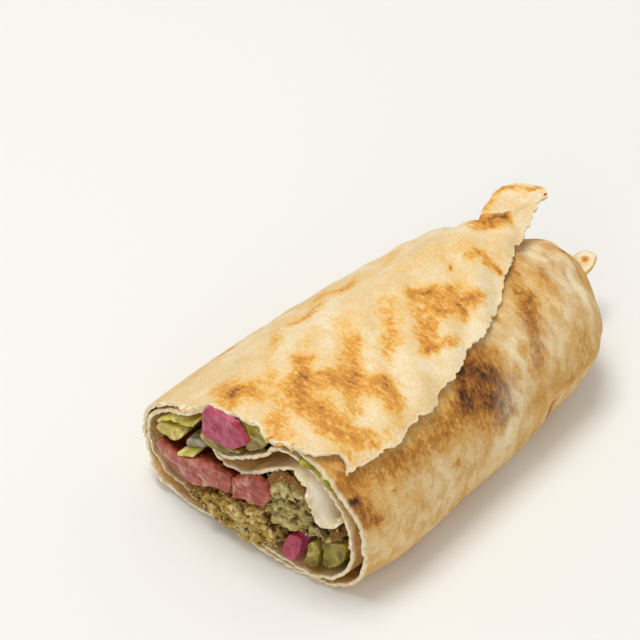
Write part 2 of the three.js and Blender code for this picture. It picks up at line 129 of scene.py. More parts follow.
# Toasting on the flat bread, in places also painted shadow: from (s, y) to (s, y), radius and how brown.
# s runs along the bread from the loose edge, y along the roll and on over the folded end.
FLAP_TOAST = [
    (43.5, 6.5, 35.5, 2.5, 3.8, 0.42), (36.5, 5, 36.5, 5, 2.7, 0.62), (36, 7, 32.5, 7, 3.1, 0.44),
    (50.5, 23.5, 34.5, 13, 2.2, 0.24), (34.5, 13, 25, 7, 2.5, 0.28), (23, 4.5, 19, 1, 3.1, 0.43),
    (37.5, 26, 33.5, 23.5, 2, 0.33), (33, 22.5, 28, 19, 2.4, 0.52), (36, 37.5, 28.5, 31, 2.5, 0.3),
    (28.5, 31, 20.5, 25, 2.5, 0.43), (20.5, 25, 13, 16.5, 2.7, 0.34), (28.5, 17.5, 21.5, 24.5, 3.1, 0.41),
    (26.5, 14.5, 19.5, 11.5, 4.3, 0.52), (18, 10.5, 10.5, 9.5, 4, 0.43), (23.5, 20, 19.5, 20.5, 2.9, 0.47),
    (10.5, 8, 6, 10, 3.6, 0.48), (15.5, 26, 9, 24.5, 3.2, 0.5), (32, 46, 21, 37, 2.7, 0.36),
    (21.5, 36.5, 17.5, 33.5, 2, 0.26), (29, 53.5, 25.5, 56, 3.1, 0.46), (25, 55.5, 20, 52.5, 3.1, 0.52),
    (25, 49.5, 19.5, 47.5, 2.7, 0.43), (23.5, 60.5, 17.5, 57, 2.2, 0.52), (18, 57.5, 17, 61.5, 3.1, 0.52),
    (16.5, 57.5, 14, 55.5, 2, 0.5), (19.5, 46, 14.5, 43.5, 2.6, 0.45), (14, 42.5, 12.5, 47, 2.5, 0.53),
    (29, 73, 27.5, 74.5, 1.6, 0.43), (24, 74, 20.5, 74.5, 1.5, 0.56), (38, 73, 23, 78.5, 5, 0.19),
    (34.5, 68.5, 24.5, 62.5, 3.4, 0.19), (53, 46.5, 48.5, 50, 3.4, 0.43), (49.5, 34, 48.5, 36.5, 2.7, 0.43),
    (32.5, 54.5, 19.5, 43.5, 2.9, 0.24), (29.5, 66.5, 29.5, 66.5, 0.35, 1.4), (29, 46, 29, 46, 0.3, 1.4),
    (34, 78, 24, 70, 4, 0.14), (30, 36, 12, 30, 6, 0.12), (16, 18, 8, 26, 5, 0.12),
    # The rows along the crest, with s from 42 to 53, are partly painted shadow of the wrap's other half, over
    # mild toasting.
    (40, 62, 30, 70, 4, 0.14), (51, 29, 42, 21.5, 2.2, 0.32), (52, 42, 44, 35, 2.2, 0.34),
    (52, 54, 45, 48, 2.2, 0.3), (53, 66, 47, 60, 2.4, 0.32), (4, 14, 6, 3, 4, 0.26),
    (10, 66, 22, 74, 3.5, 0.12), (6, 22.5, 5, 20, 2.5, 0.3), (5.5, 4, 5, 2, 2, 0.34),
    # Painted shadow of the wrap's other half, over light toasting.
    (38.5, 66, 38.5, 58, 3, 0.16),
]
EAR_TOAST = [
    (33.5, 101.5, 37.5, 101.5, 2.4, 0.22), (40, 84.8, 32.6, 91, 2.5, 0.55), (38.8, 86, 34, 89.6, 1.3, 0.66),
    (40.2, 85.2, 40.2, 85.2, 0.8, 0.85), (42, 100.5, 33, 104.8, 1, 0.4),
    (34.6, 105.6, 29.9, 106.4, 0.8, 0.4), (26.7, 104.3, 26.7, 104.3, 0.5, 1.3),
    (37.5, 83, 32, 87.4, 2.4, 0.46), (35, 86, 31.4, 89, 1.8, 0.4), (41, 92.5, 40, 101, 1.5, 0.42),
]
BODY_TOAST = [
    (196, 44.5, 188.5, 41, 1.4, 0.8), (196, 45, 195.5, 50.5, 2.6, 0.7), (193.5, 48, 186.5, 53.5, 4.4, 0.66),
    (189, 44, 181, 50.5, 5.2, 0.7), (192.5, 53, 192.5, 53, 0.8, 0.82), (181, 52, 181, 52, 0.9, 0.7),
    (186.5, 37, 181, 43, 4, 0.34), (200, 48, 194.5, 54, 3.4, 0.4), (201.5, 75.5, 195, 71, 3.1, 0.5),
    (200, 74, 200, 74, 0.9, 0.85), (194.5, 71.5, 188, 69.5, 3, 0.46), (203.5, 76.5, 210.5, 80, 3.6, 0.26),
    (207, 79, 210.3, 83.8, 1.8, 0.24), (188, 66.5, 183, 67, 1.8, 0.42),
    (167.5, 71.5, 167.5, 71.5, 0.7, 1.4), (167, 70.5, 163, 70, 1, 0.6), (176.5, 33, 176.5, 33, 1.6, 0.5),
    (163, 65, 163, 65, 2, 0.45), (186, 2.5, 186, 2.5, 1.3, 1.1), (184, 2.5, 177.5, 3.5, 2.6, 0.5),
    (190.5, 4, 187, 4, 2.6, 0.36), (197, 3, 191, 3.5, 2.6, 0.3), (196, 14.5, 184.5, 18.5, 4.6, 0.25),
    (182.5, 11.5, 182.5, 11.5, 1.5, 0.35), (187.5, 24.5, 178.5, 22.5, 3.2, 0.22),
    (182.3, 82.7, 171.9, 87.6, 3.6, 0.22), (173.5, 73, 170, 82.7, 3.6, 0.28),
    (206.9, 93.4, 201.7, 91.9, 1.8, 0.3), (196.5, 90.8, 196.5, 90.8, 1.4, 0.4),
    (202.2, 85.3, 200.3, 84.4, 1.8, 0.4), (150, 20, 140, 34, 5, 0.5), (128, 50, 118, 66, 5, 0.55),
    (104, 18, 92, 34, 5.5, 0.6), (84, 46, 70, 60, 5, 0.55), (78, 14, 66, 22, 4.5, 0.5),
    # The two broad rows from s 191 to 184 run just under the flap's edge: partly browning, partly the flap's
    # painted shadow.
    (66, 70, 58, 80, 4, 0.5), (191, 2, 187, 34, 5, 0.4), (192, 30, 184, 64, 6.5, 0.2),
    (175, 60, 172, 82, 6, 0.24), (203, 56, 213, 86, 5, 0.16), (184, 74, 176, 96, 6, 0.1),
    (182, 4, 176, 30, 6, 0.14), (205, 70, 214, 86, 3.5, 0.16), (205, 84, 190, 84, 8, 0.2),
    (190, 64, 177, 88, 8, 0.14), (209, 85, 203.5, 87.5, 2.6, 0.24), (204.8, 102.2, 204.8, 102.2, 0.8, 1.3),
    (211, 99.4, 204, 102.4, 0.7, 0.45), (204, 102.4, 198, 101.2, 0.7, 0.5),
    (198, 101.2, 189.5, 99.4, 0.8, 0.45),
]
# Pale streaks of the body, given in the same way; those on the folded end, past y 84, are partly painted
# light on its top.
PALE = [
    (193.5, 64.5, 172.5, 50.5, 4.2, 0.75), (209.8, 90.5, 190.4, 93.4, 3.6, 0.85),
    (191.8, 91.9, 183.8, 91.6, 3.6, 0.5), (190, 74, 183.5, 74.5, 3, 0.5), (180.5, 23.5, 168, 27, 4, 0.5),
    (150, 60, 138, 50, 5, 0.7), (120, 20, 105, 40, 6, 0.6), (90, 70, 76, 74, 5, 0.7),
    (197, 88, 187, 82, 3, 0.6), (201.3, 92.5, 197.5, 97.4, 3, 0.5),
]
# How far back the flap's front edge is torn besides, by the distance from its loose edge.
FLAP_EDGE = [
    (0, -0.4), (2, 1.6), (4.5, 3.3), (6, 3.2), (7.5, 2), (9, 0.4), (13, 0.1), (16, -0.3), (19, -0.8),
    (22, -0.4), (25, 0.9), (27, 0.4), (37, 0.1), (43, 0.6), (47, -0.1), (52, 1.3), (56, 0.9), (60, 0),
]

# Fillings that slant down behind their cut end, and how much.
ASKEW = {"turnip_top": 1.0, "tomato_right": 0.9, "tomato_left": 0.35, "pickle_top_right": 0.5}
ASKEW_TO = np.array([-0.87, 0, -1.3])
# The sharper outline that some cut ends have, in the section.
CUT_ENDS = {
    "turnip_top": [
        (-9.9, 41.8), (-8.8, 43.5), (-6.4, 44.8), (-2.9, 45.5), (1.2, 45.5), (2.7, 43.8), (4.4, 40.6),
        (3.9, 39.2), (0.3, 35.6), (-4.8, 34.2), (-8.7, 33), (-9.7, 36.2),
    ],
    "tomato_right": [
        (-0.3, 25.2), (3.6, 28), (7.4, 30.4), (10.6, 29.6), (10.9, 24.4), (9.6, 21.4), (4.4, 19.8),
        (-0.4, 18.2),
    ],
    "pickle_top_right": [
        (0.5, 42.7), (1.6, 45), (3.5, 46), (6.1, 46), (7.9, 45.6), (10.8, 45.4), (11, 44.4), (7.8, 39.6),
        (4.2, 36), (2.9, 36), (2.3, 38.4),
    ],
}
# Tones of the browning, from its faintest to char.
FLAP_BROWNING = [
    (0.1, "f7d898"), (0.28, "f3c46c"), (0.45, "e8a84a"), (0.6, "d08f40"), (0.78, "a0682f"), (1.0, "3d281a"),
]
BODY_BROWNING = [
    (0.1, "e3b66a"), (0.3, "d49e4a"), (0.5, "b77b31"), (0.7, "935d28"), (0.88, "6e4523"), (1.0, "452d1a"),
]
# Wet fillings: the material's name, its tones, its skin, the sizes of patches and of streaks, the cover of
# sauce and painted sheen, gloss, softness and depth of relief.
WET = {
    "tomato": ("tomato flesh", ("86321f", "a24332", "cc806c"), "8a300f", 5, 0.6, 0.36, 0.1, 0.15, 0.2),
    # The turnip's lighter skin tone on its sides is partly a painted highlight.
    "turnip": ("pickled turnip", ("922541", "ac3652", "c4667c"), "d9798e", 4, 0.9, 0.03, 0.2, 0.1, 0.2),
    "pickle": ("pickled cucumber", ("665406", "8c791c", "beac54"), "505812", 4.0, 2.2, 0.25, 0.12, 0.2, 0.1),
    "pickle_top_left": (
        "pale pickle", ("a8922a", "ccb64a", "eee49e"), "6e7420", 3.5, 1.8, 0.3, 0.12, 0.2, 0.12,
    ),
    "cucumber": ("cucumber", ("70674f", "998e76", "bdb29a"), "8a8468", 3, 1.2, 0.4, 0.2, 0.1),
}
LEAF = ("lettuce leaf", ("6c6608", "989020", "c2b856"), "86821a", 4, 1.0, 0.05, 0.3, 0.1)
# The pale leaf's tones are its own paler green, raised further as painted light where it lies in shade.
PALE_LEAF = ("pale lettuce leaf", ("a0942a", "d8ca54", "f6eeb4"), "b8ac3a", 2.5, 0.8, 0.05, 0.3, 0.1)
# Torn flakes along the flap's front edge: s, y, how far outside, size, flatness and browning.
FLAKES = [
    (51.6, -0.9, 0.5, 0.9, 0.5, 0), (50.2, -1.1, 0.7, 1.1, 0.5, 0), (48.6, -1, 0.5, 1, 0.45, 0),
    (47.2, -0.8, 0.3, 0.8, 0.5, 0), (20, -0.8, 0, 1.1, 0.35, 0.36), (17.8, -0.5, -0.2, 1.2, 0.35, 0.4),
    (14.6, 0.3, -0.4, 1.2, 0.35, 0.4), (12.4, 0.6, -0.4, 0.9, 0.35, 0.36),
]


def smooth(t):
    t = np.clip(t, 0, 1)
    return t * t * (3 - 2 * t)


def band(t, start, rise, end, fall):
    """1 from start to end, eased in over rise and out over fall."""
    return smooth((t - start) / rise) * (1 - smooth((t - end) / fall))


def along(table, t):
    """The value at t of a table of (t, value) rows, eased between rows."""
    rows = np.array(table, float)
    i = np.clip(np.searchsorted(rows[:, 0], t), 1, len(rows) - 1)
    eased = smooth((t - rows[i - 1, 0]) / (rows[i, 0] - rows[i - 1, 0]))
    return rows[i - 1, 1] + (rows[i, 1] - rows[i - 1, 1]) * eased


class Curve:
    """A smooth curve through section points (x, z, front), read by arc length."""

    def __init__(self, points, closed=False, per_point=60):
        p = np.array(points, float)
        if closed:
            around = np.vstack([p[-1:], p, p[:2]])
            spans = len(p)
        else:
            around = np.vstack([2 * p[0] - p[1], p, 2 * p[-1] - p[-2]])
            spans = len(p) - 1
        t = np.linspace(0, spans, spans * per_point + 1)
        i = np.minimum(t.astype(int), spans - 1)
        f = (t - i)[:, None]
        p0, p1, p2, p3 = around[i], around[i + 1], around[i + 2], around[i + 3]
        v1, v2 = (p2 - p0) / 2, (p3 - p1) / 2
        self.points = p1 + v1 * f + (3 * (p2 - p1) - 2 * v1 - v2) * f**2 + (2 * (p1 - p2) + v1 + v2) * f**3
        steps = np.linalg.norm(np.diff(self.points, axis=0), axis=1)
        self.reach = np.concatenate([[0], np.cumsum(steps)])
        self.length = self.reach[-1]
        heading = np.gradient(self.points, axis=0)[:, :2]
        if closed:
            heading[0] = heading[-1] = (self.points[1] - self.points[-2])[:2]
        self.lefts = np.stack([-heading[:, 1], heading[:, 0]], 1)

    def at(self, s):
        return np.stack([np.interp(s, self.reach, self.points[:, k]) for k in range(3)], -1)

    def left(self, s):
        n = np.stack([np.interp(s, self.reach, self.lefts[:, k]) for k in range(2)], -1)
        return n / np.linalg.norm(n, axis=-1, keepdims=True)


turn = Curve(TURN, closed=True, per_point=200)


def wound(turns, inwards, front=0.0):
    """The section point reached after a number of turns, moved inwards of TURN."""
    s = (turns - np.floor(turns)) * turn.length
    p, n = turn.at(s), turn.left(s)
    x, z = p[..., 0] + n[..., 0] * inwards, p[..., 1] + n[..., 1] * inwards
    return np.stack([x, z, p[..., 2] + front], -1)


def rolled_line():
    turns = np.linspace(WINDING_FROM, WINDING_TO, WINDING_STEPS + 1)
    points = [tuple(p) for p in wound(turns, along(INWARDS, turns), along(TORN, turns))]
    return Curve(points + FOLD, per_point=40)


roll = rolled_line()


def cut_face(x):
    return 6.5 * ((x + 8) / 46) ** 2 - 5.5


def place(x, z, y, front=0.0):
    """Carries a section point to the height y along the roll."""
    t = y / ROLL_END
    swell = smooth(y / 16)
    width = 1 - 0.175 * np.maximum(0, t) ** 1.8
    height = 1 - 0.07 * t * t
    shoulder = np.exp(-(((x + 17) / 10) ** 2))
    rightwards = (x + 54) / 92
    tuck = 4.5 * smooth((y - 56) / 32) * np.maximum(0, 1 - z / 22)
    swollen_x = x + (2.6 * swell - tuck) * rightwards
    swollen_z = z * (1 + 0.075 * swell * shoulder)
    fade = (1 - np.minimum(1, t)) ** 2
    return np.stack(
        [
            STRAIGHT_SIDE - (STRAIGHT_SIDE - swollen_x) * width,
            y + (cut_face(x) + front) * fade,
            np.maximum(0, swollen_z * height),
        ],
        -1,
    )


def on_roll(s, y, offset=0.0):
    p, n = roll.at(s), roll.left(s)
    return place(p[..., 0] + n[..., 0] * offset, p[..., 1] + n[..., 1] * offset, y, p[..., 2])


def loose_edge(y):
    return LOOSE_ARC * (np.maximum(0, y) / LOOSE_AT) ** 2.5


def lift(s, y):
    """How much higher than the roll the flap and the turn beside it lie, towards the folded end."""
    across = smooth((s - loose_edge(y) + 1) / 9) * (1 - smooth((s - 55) / 20))
    return 3.1 * smooth((y - 5) / 79) * across


def lattice(i, j, k, seed):
    """A repeatable value from -1 to 1 at each whole-number point."""
    h = (i * 374761393 + j * 668265263 + k * 1440662683 + seed * 974634777) & 0xFFFFFFFF
    h = ((h ^ (h >> 13)) * 1274126177) & 0xFFFFFFFF
    return ((h ^ (h >> 16)) & 0xFFFFFF) / 0x7FFFFF - 1


def ripple(points, size, seed=0):
    """Smooth noise from about -1 to 1 over points (n, 3), with bumps of the given size."""
    p = np.asarray(points, float) / size
    whole = np.floor(p).astype(np.int64)
    f = smooth(p - whole)
    total = 0.0
    for corner in range(8):
        step = np.array([corner & 1, corner >> 1 & 1, corner >> 2 & 1])
        weight = np.prod(np.where(step, f, 1 - f), axis=1)
        total = total + weight * lattice(*(whole + step).T, seed)
    return total


def ripple_of(a, b, size, seed=0):
    return ripple(np.stack([a, b, np.zeros_like(a)], 1), size, seed)


def clumps(points, size, seed):
    """Scattered clumps of a size: distances to the nearest two middles, and the nearest one's own value."""
    p = np.asarray(points, float) / size
    whole = np.floor(p).astype(np.int64)
    first, second, value = np.full(len(p), 9.0), np.full(len(p), 9.0), np.zeros(len(p))
    for step in np.ndindex(3, 3, 3):
        cell = whole + np.array(step) - 1
        spot = cell + 0.5 + 0.5 * np.stack([lattice(*cell.T, seed + k) for k in range(3)], 1)
        away = np.linalg.norm(p - spot, axis=1)
        nearer = away < first
        second = np.where(nearer, first, np.minimum(second, away))
        value = np.where(nearer, lattice(*cell.T, seed + 3), value)
        first = np.where(nearer, away, first)
    return first, second, value


def marks(table, s, y):
    """How strong a table's marks are at flat points: soft, with wandering outlines."""
    total = np.zeros_like(s)
    wander = [1.5 * ripple_of(s, y, 7, k) + 0.8 * ripple_of(s, y, 2.4, k + 2) for k in (3, 4)]
    for s0, y0, s1, y1, radius, strength in table:
        off = min(1.0, radius / 2)
        ps, py = s + off * wander[0], y + off * wander[1]
        ds, dy = s1 - s0, y1 - y0
        t = np.clip(((ps - s0) * ds + (py - y0) * dy) / max(ds * ds + dy * dy, 1e-6), 0, 1)
        away = np.hypot(ps - s0 - t * ds, py - y0 - t * dy)
        mark = strength * np.exp(-((away / (1.2 * radius)) ** 2))
        total = np.maximum(total, mark) + 0.2 * np.minimum(total, mark)
    return total


# ---------------------------------------------------------------- mesh helpers
def deselect():
    if bpy.context.object and bpy.context.object.mode != "OBJECT":
        bpy.ops.object.mode_set(mode="OBJECT")
    bpy.ops.object.select_all(action="DESELECT")


def activate(piece):
    deselect()
    piece.select_set(True)
    bpy.context.view_layer.objects.active = piece


def fetch(piece, what="co"):
    """A vector of each vertex: its place as it stands in the mesh, or its normal."""
    values = np.zeros(len(piece.data.vertices) * 3)
    piece.data.vertices.foreach_get(what, values)
    return values.reshape(-1, 3)


def read(piece):
    """The piece's vertices in drawing millimetres."""
    return fetch(piece) / MM + ORIGIN


def write(piece, points):
    piece.data.vertices.foreach_set("co", ((points - ORIGIN) * MM).ravel())
    piece.data.update()


def set_values(piece, name, values):
    made = piece.data.attributes.get(name) or piece.data.attributes.new(name, "FLOAT", "POINT")
    made.data.foreach_set("value", np.asarray(values, np.float32))


def get_values(piece, name):
    values = np.zeros(len(piece.data.vertices), np.float32)
    piece.data.attributes[name].data.foreach_get("value", values)
    return values.astype(float)


def new_grid(name, columns, rows):
    """A flat grid of unit size with one corner at the origin, to be scaled and shaped."""
    deselect()
    bpy.ops.mesh.primitive_grid_add(
        x_subdivisions=columns, y_subdivisions=rows, size=1, location=(0.5, 0.5, 0), calc_uvs=False
    )
    piece = bpy.context.object
    piece.name = piece.data.name = name
    bpy.ops.object.transform_apply(location=True, rotation=False, scale=False)
    return piece


def select_faces(piece, wanted):
    """Enters edit mode with the faces whose centre is wanted selected."""
    activate(piece)
    bpy.ops.object.mode_set(mode="EDIT")
    bpy.ops.mesh.select_mode(type="FACE")
    bpy.ops.mesh.select_all(action="DESELECT")
    mesh = bmesh.from_edit_mesh(piece.data)
    for face in mesh.faces:
        if wanted(face.calc_center_median()):
            face.select_set(True)
    bmesh.update_edit_mesh(piece.data)


def edit_all(piece, *operations):
    """Runs mesh operators, given as (operator, settings), on the whole piece."""
    activate(piece)
    bpy.ops.object.mode_set(mode="EDIT")
    bpy.ops.mesh.select_all(action="SELECT")
    for operator, settings in operations:
        operator(**settings)
    bpy.ops.object.mode_set(mode="OBJECT")


def add_modifier(piece, kind, **settings):
    """Adds a modifier, sets it and applies it."""
    activate(piece)
    bpy.ops.object.modifier_add(type=kind)
    made = piece.modifiers[-1]
    for name, value in settings.items():
        setattr(made, name, value)
    bpy.ops.object.modifier_apply(modifier=made.name)


def finish_piece(piece, slot, *nodes, angle=50):
    activate(piece)
    bpy.ops.object.shade_smooth_by_angle(angle=math.radians(angle))
    if nodes:
        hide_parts(*nodes)
    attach(piece, "root")
    deselect()
    return piece


def copy_of(node, name):
    """A separate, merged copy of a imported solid, to be given its real surface."""
    source = frame["nodes"][node]
    source.hide_viewport = False
    activate(source)
    bpy.ops.object.duplicate()
    piece = bpy.context.object
    piece.name = piece.data.name = name
    piece.parent = None
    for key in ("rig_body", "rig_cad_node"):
        if key in piece:
            del piece[key]
    piece.data.materials.clear()
    edit_all(piece, (bpy.ops.mesh.remove_doubles, {"threshold": 1e-5}))
    return piece


# ---------------------------------------------------------------- shader helpers
def rgb(code):
    """A colour's linear value from its six hexadecimal digits."""
    parts = [int(code[i : i + 2], 16) / 255 for i in (0, 2, 4)]
    return tuple(c / 12.92 if c <= 0.04045 else ((c + 0.055) / 1.055) ** 2.4 for c in parts) + (1.0,)


class Shade:
    """Adds nodes to a material or a node group and links them."""

    def __init__(self, tree):
        self.tree = tree

    def add(self, kind, values=None, **settings):
        made = self.tree.nodes.new("ShaderNode" + kind)
        for name, value in settings.items():
            setattr(made, name, value)
        for socket, value in (values or {}).items():
            if isinstance(value, bpy.types.NodeSocket):
                self.tree.links.new(value, made.inputs[socket])
            else:
                made.inputs[socket].default_value = value
        return made

    def place(self):
        return self.add("TexCoord").outputs["Object"]

    def value(self, name):
        return self.add("Attribute", attribute_name=name).outputs["Fac"]

    def noise(self, vector, size, detail=2.0, rough=0.55, warp=0.0):
        """Noise with features of size millimetres."""
        values = {"Vector": vector, "Scale": 1 / (size * MM), "Detail": detail, "Roughness": rough}
        return self.add("TexNoise", {**values, "Distortion": warp}).outputs["Fac"]

    def math(self, operation, a, b=0.0, clamp=False):
        return self.add("Math", {0: a, 1: b}, operation=operation, use_clamp=clamp).outputs[0]

    def step(self, value, low, high, to_low=0.0, to_high=1.0):
        return self.add(
            "MapRange",
            {"Value": value, "From Min": low, "From Max": high, "To Min": to_low, "To Max": to_high},
            interpolation_type="SMOOTHSTEP",
        ).outputs[0]

    def mix(self, factor, a, b, blend="MIX"):
        made = self.add("Mix", {0: factor, 6: a, 7: b}, data_type="RGBA", blend_type=blend)
        return made.outputs[2]

    def ramp(self, value, stops):
        made = self.add("ValToRGB", {0: value})
        ramp = made.color_ramp
        ramp.interpolation = "EASE"
        while len(ramp.elements) < len(stops):
            ramp.elements.new(0.5)
        for element, (at, code) in zip(ramp.elements, stops):
            element.position = at
            element.color = rgb(code)
        return made.outputs[0]

    def bump(self, height, strength, distance, normal=None):
        values = {"Height": height, "Strength": strength, "Distance": distance * MM}
        if normal is not None:
            values["Normal"] = normal
        return self.add("Bump", values).outputs[0]

    def tint(self, colour, mask, amount, code):
        """Lays a tone over the colour where the mask is, at most by amount."""
        return self.mix(self.math("MULTIPLY", mask, amount), colour, rgb(code))

    def effect(self, name, values):
        """The first output of a shared effect's node group."""
        return self.add("Group", values, node_tree=bpy.data.node_groups[name]).outputs[0]

    def feed(self, shader, **values):
        for socket, value in values.items():
            self.tree.links.new(value, shader.inputs[socket.replace("_", " ")])


def new_material(name, **constants):
    """A material with its Principled shader; constants are set on the shader's own sockets."""
    material = bpy.data.materials.new(name)
    material.use_nodes = True
    shader = next(n for n in material.node_tree.nodes if n.type == "BSDF_PRINCIPLED")
    for socket, value in constants.items():
        shader.inputs[socket.replace("_", " ")].default_value = value
    return material, Shade(material.node_tree), shader


def new_group(name, inputs, outputs):
    """A shader node group with named sockets: inputs as (name, kind, default), outputs as (name, kind)."""
    group = bpy.data.node_groups.new(name, "ShaderNodeTree")
    for label, kind, default in inputs:
        socket = group.interface.new_socket(label, in_out="INPUT", socket_type="NodeSocket" + kind)
        if default is not None:
            socket.default_value = default
    for label, kind in outputs:
        group.interface.new_socket(label, in_out="OUTPUT", socket_type="NodeSocket" + kind)
    given, out = group.nodes.new("NodeGroupInput"), group.nodes.new("NodeGroupOutput")
    return group, Shade(group), given.outputs, out.inputs


def browning_group():
    """Breaks up a smooth toasting value, in places also painted shadow, into grilled patches with grainy
    edges.
    """
    group, shade, given, out = new_group(
        "Grilled patches",
        [
            ("Vector", "Vector", None),
            ("Heat", "Float", 0.0),
            ("Patch size", "Float", 4.0),
            ("Break-up", "Float", 0.3),
        ],
        [("Heat", "Float")],
    )
    scale = shade.math("DIVIDE", 1 / MM, given["Patch size"])
    noise = {"Vector": given["Vector"], "Scale": scale, "Detail": 3.0, "Roughness": 0.6}
    coarse = shade.add("TexNoise", noise)
    fine = shade.noise(given["Vector"], 0.9, detail=3.0, rough=0.7)
    swing = shade.math("SUBTRACT", coarse.outputs["Fac"], 0.5)
    swing = shade.math("MULTIPLY", shade.math("MULTIPLY", swing, given["Break-up"]), 3.0)
    grain = shade.math("SUBTRACT", fine, 0.5)
    swing = shade.math("ADD", shade.math("ADD", swing, shade.math("MULTIPLY", grain, 1.3)), 1.0)
    heat = shade.math("MULTIPLY", given["Heat"], swing)
    heat = shade.math("ADD", heat, shade.math("MULTIPLY", grain, 0.25))
    shade.tree.links.new(heat, out["Heat"])
    return group


def specks_group():
    """Small scattered dots, as of char, herbs or seeds."""
    group, shade, given, out = new_group(
        "Scattered specks",
        [
            ("Vector", "Vector", None),
            ("Spacing", "Float", 3.0),
            ("Reach", "Float", 0.2),
            ("Share", "Float", 0.5),
        ],
        [("Mask", "Float")],
    )
    scale = shade.math("DIVIDE", 1 / MM, given["Spacing"])
    cells = shade.add("TexVoronoi", {"Vector": given["Vector"], "Scale": scale})
    near = shade.step(cells.outputs["Distance"], given["Reach"], 0.0)
    picked = shade.add("SeparateColor", {0: cells.outputs["Color"]}).outputs[0]
    chosen = shade.math("LESS_THAN", picked, given["Share"])
    shade.tree.links.new(shade.math("MULTIPLY", near, chosen), out["Mask"])
    return group


def sauce_group():
    """Patches of thin sauce and painted sheen lying over food, as a mask."""
    group, shade, given, out = new_group(
        "Sauce patches",
        [("Vector", "Vector", None), ("Patch size", "Float", 4.0), ("Cover", "Float", 0.4)],
        [("Mask", "Float")],
    )
    scale = shade.math("DIVIDE", 1 / MM, given["Patch size"])
    spread = shade.add(
        "TexNoise",
        {"Vector": given["Vector"], "Scale": scale, "Detail": 3.0, "Roughness": 0.5, "Distortion": 0.6},
    )
    edge = shade.math("SUBTRACT", 1.0, given["Cover"])
    low = shade.math("SUBTRACT", edge, 0.08)
    high = shade.math("ADD", edge, 0.08)
    shade.tree.links.new(shade.step(spread.outputs["Fac"], low, high), out["Mask"])
    return group


# ---------------------------------------------------------------- what a user would change
class StageSettings(bpy.types.PropertyGroup):
    floor_colour: bpy.props.FloatVectorProperty(
        name="Floor", description="Colour of the floor", subtype="COLOR", size=4, default=rgb("f3f2ee")
    )
    key_power: bpy.props.FloatProperty(
        name="Key light", description="Power of the main soft light", default=7.0, unit="POWER"
    )
    fill_power: bpy.props.FloatProperty(
        name="Fill light", description="Power of the weak light from the front", default=2.6, unit="POWER"
    )
    sky: bpy.props.FloatProperty(
        name="Sky", description="Strength of the even light all round", default=0.53
    )


class BreadSettings(bpy.types.PropertyGroup):
    thickness: bpy.props.FloatProperty(
        name="Thickness", description="Thickness of the flatbread",
        default=1.15 * MM, unit="LENGTH", precision=5,
    )
    torn: bpy.props.FloatProperty(
        name="Torn edge", description="How rough its edges are",
        default=0.65 * MM, unit="LENGTH", precision=5,
    )
    cream: bpy.props.FloatVectorProperty(
        name="Untoasted", description="Colour of the untoasted bread",
        subtype="COLOR", size=4, default=rgb("f6e6c2"),
    )
    tan: bpy.props.FloatVectorProperty(
        name="Body", description="Colour of the rolled body", subtype="COLOR", size=4, default=rgb("e0b978")
    )


class FillingSettings(bpy.types.PropertyGroup):
    grain: bpy.props.FloatProperty(
        name="Falafel grain", description="Depth of the falafel's crumb",
        default=0.85 * MM, unit="LENGTH", precision=5,
    )
    detail: bpy.props.FloatProperty(
        name="Detail", description="Size of the smallest faces", default=0.4 * MM, unit="LENGTH", precision=5
    )


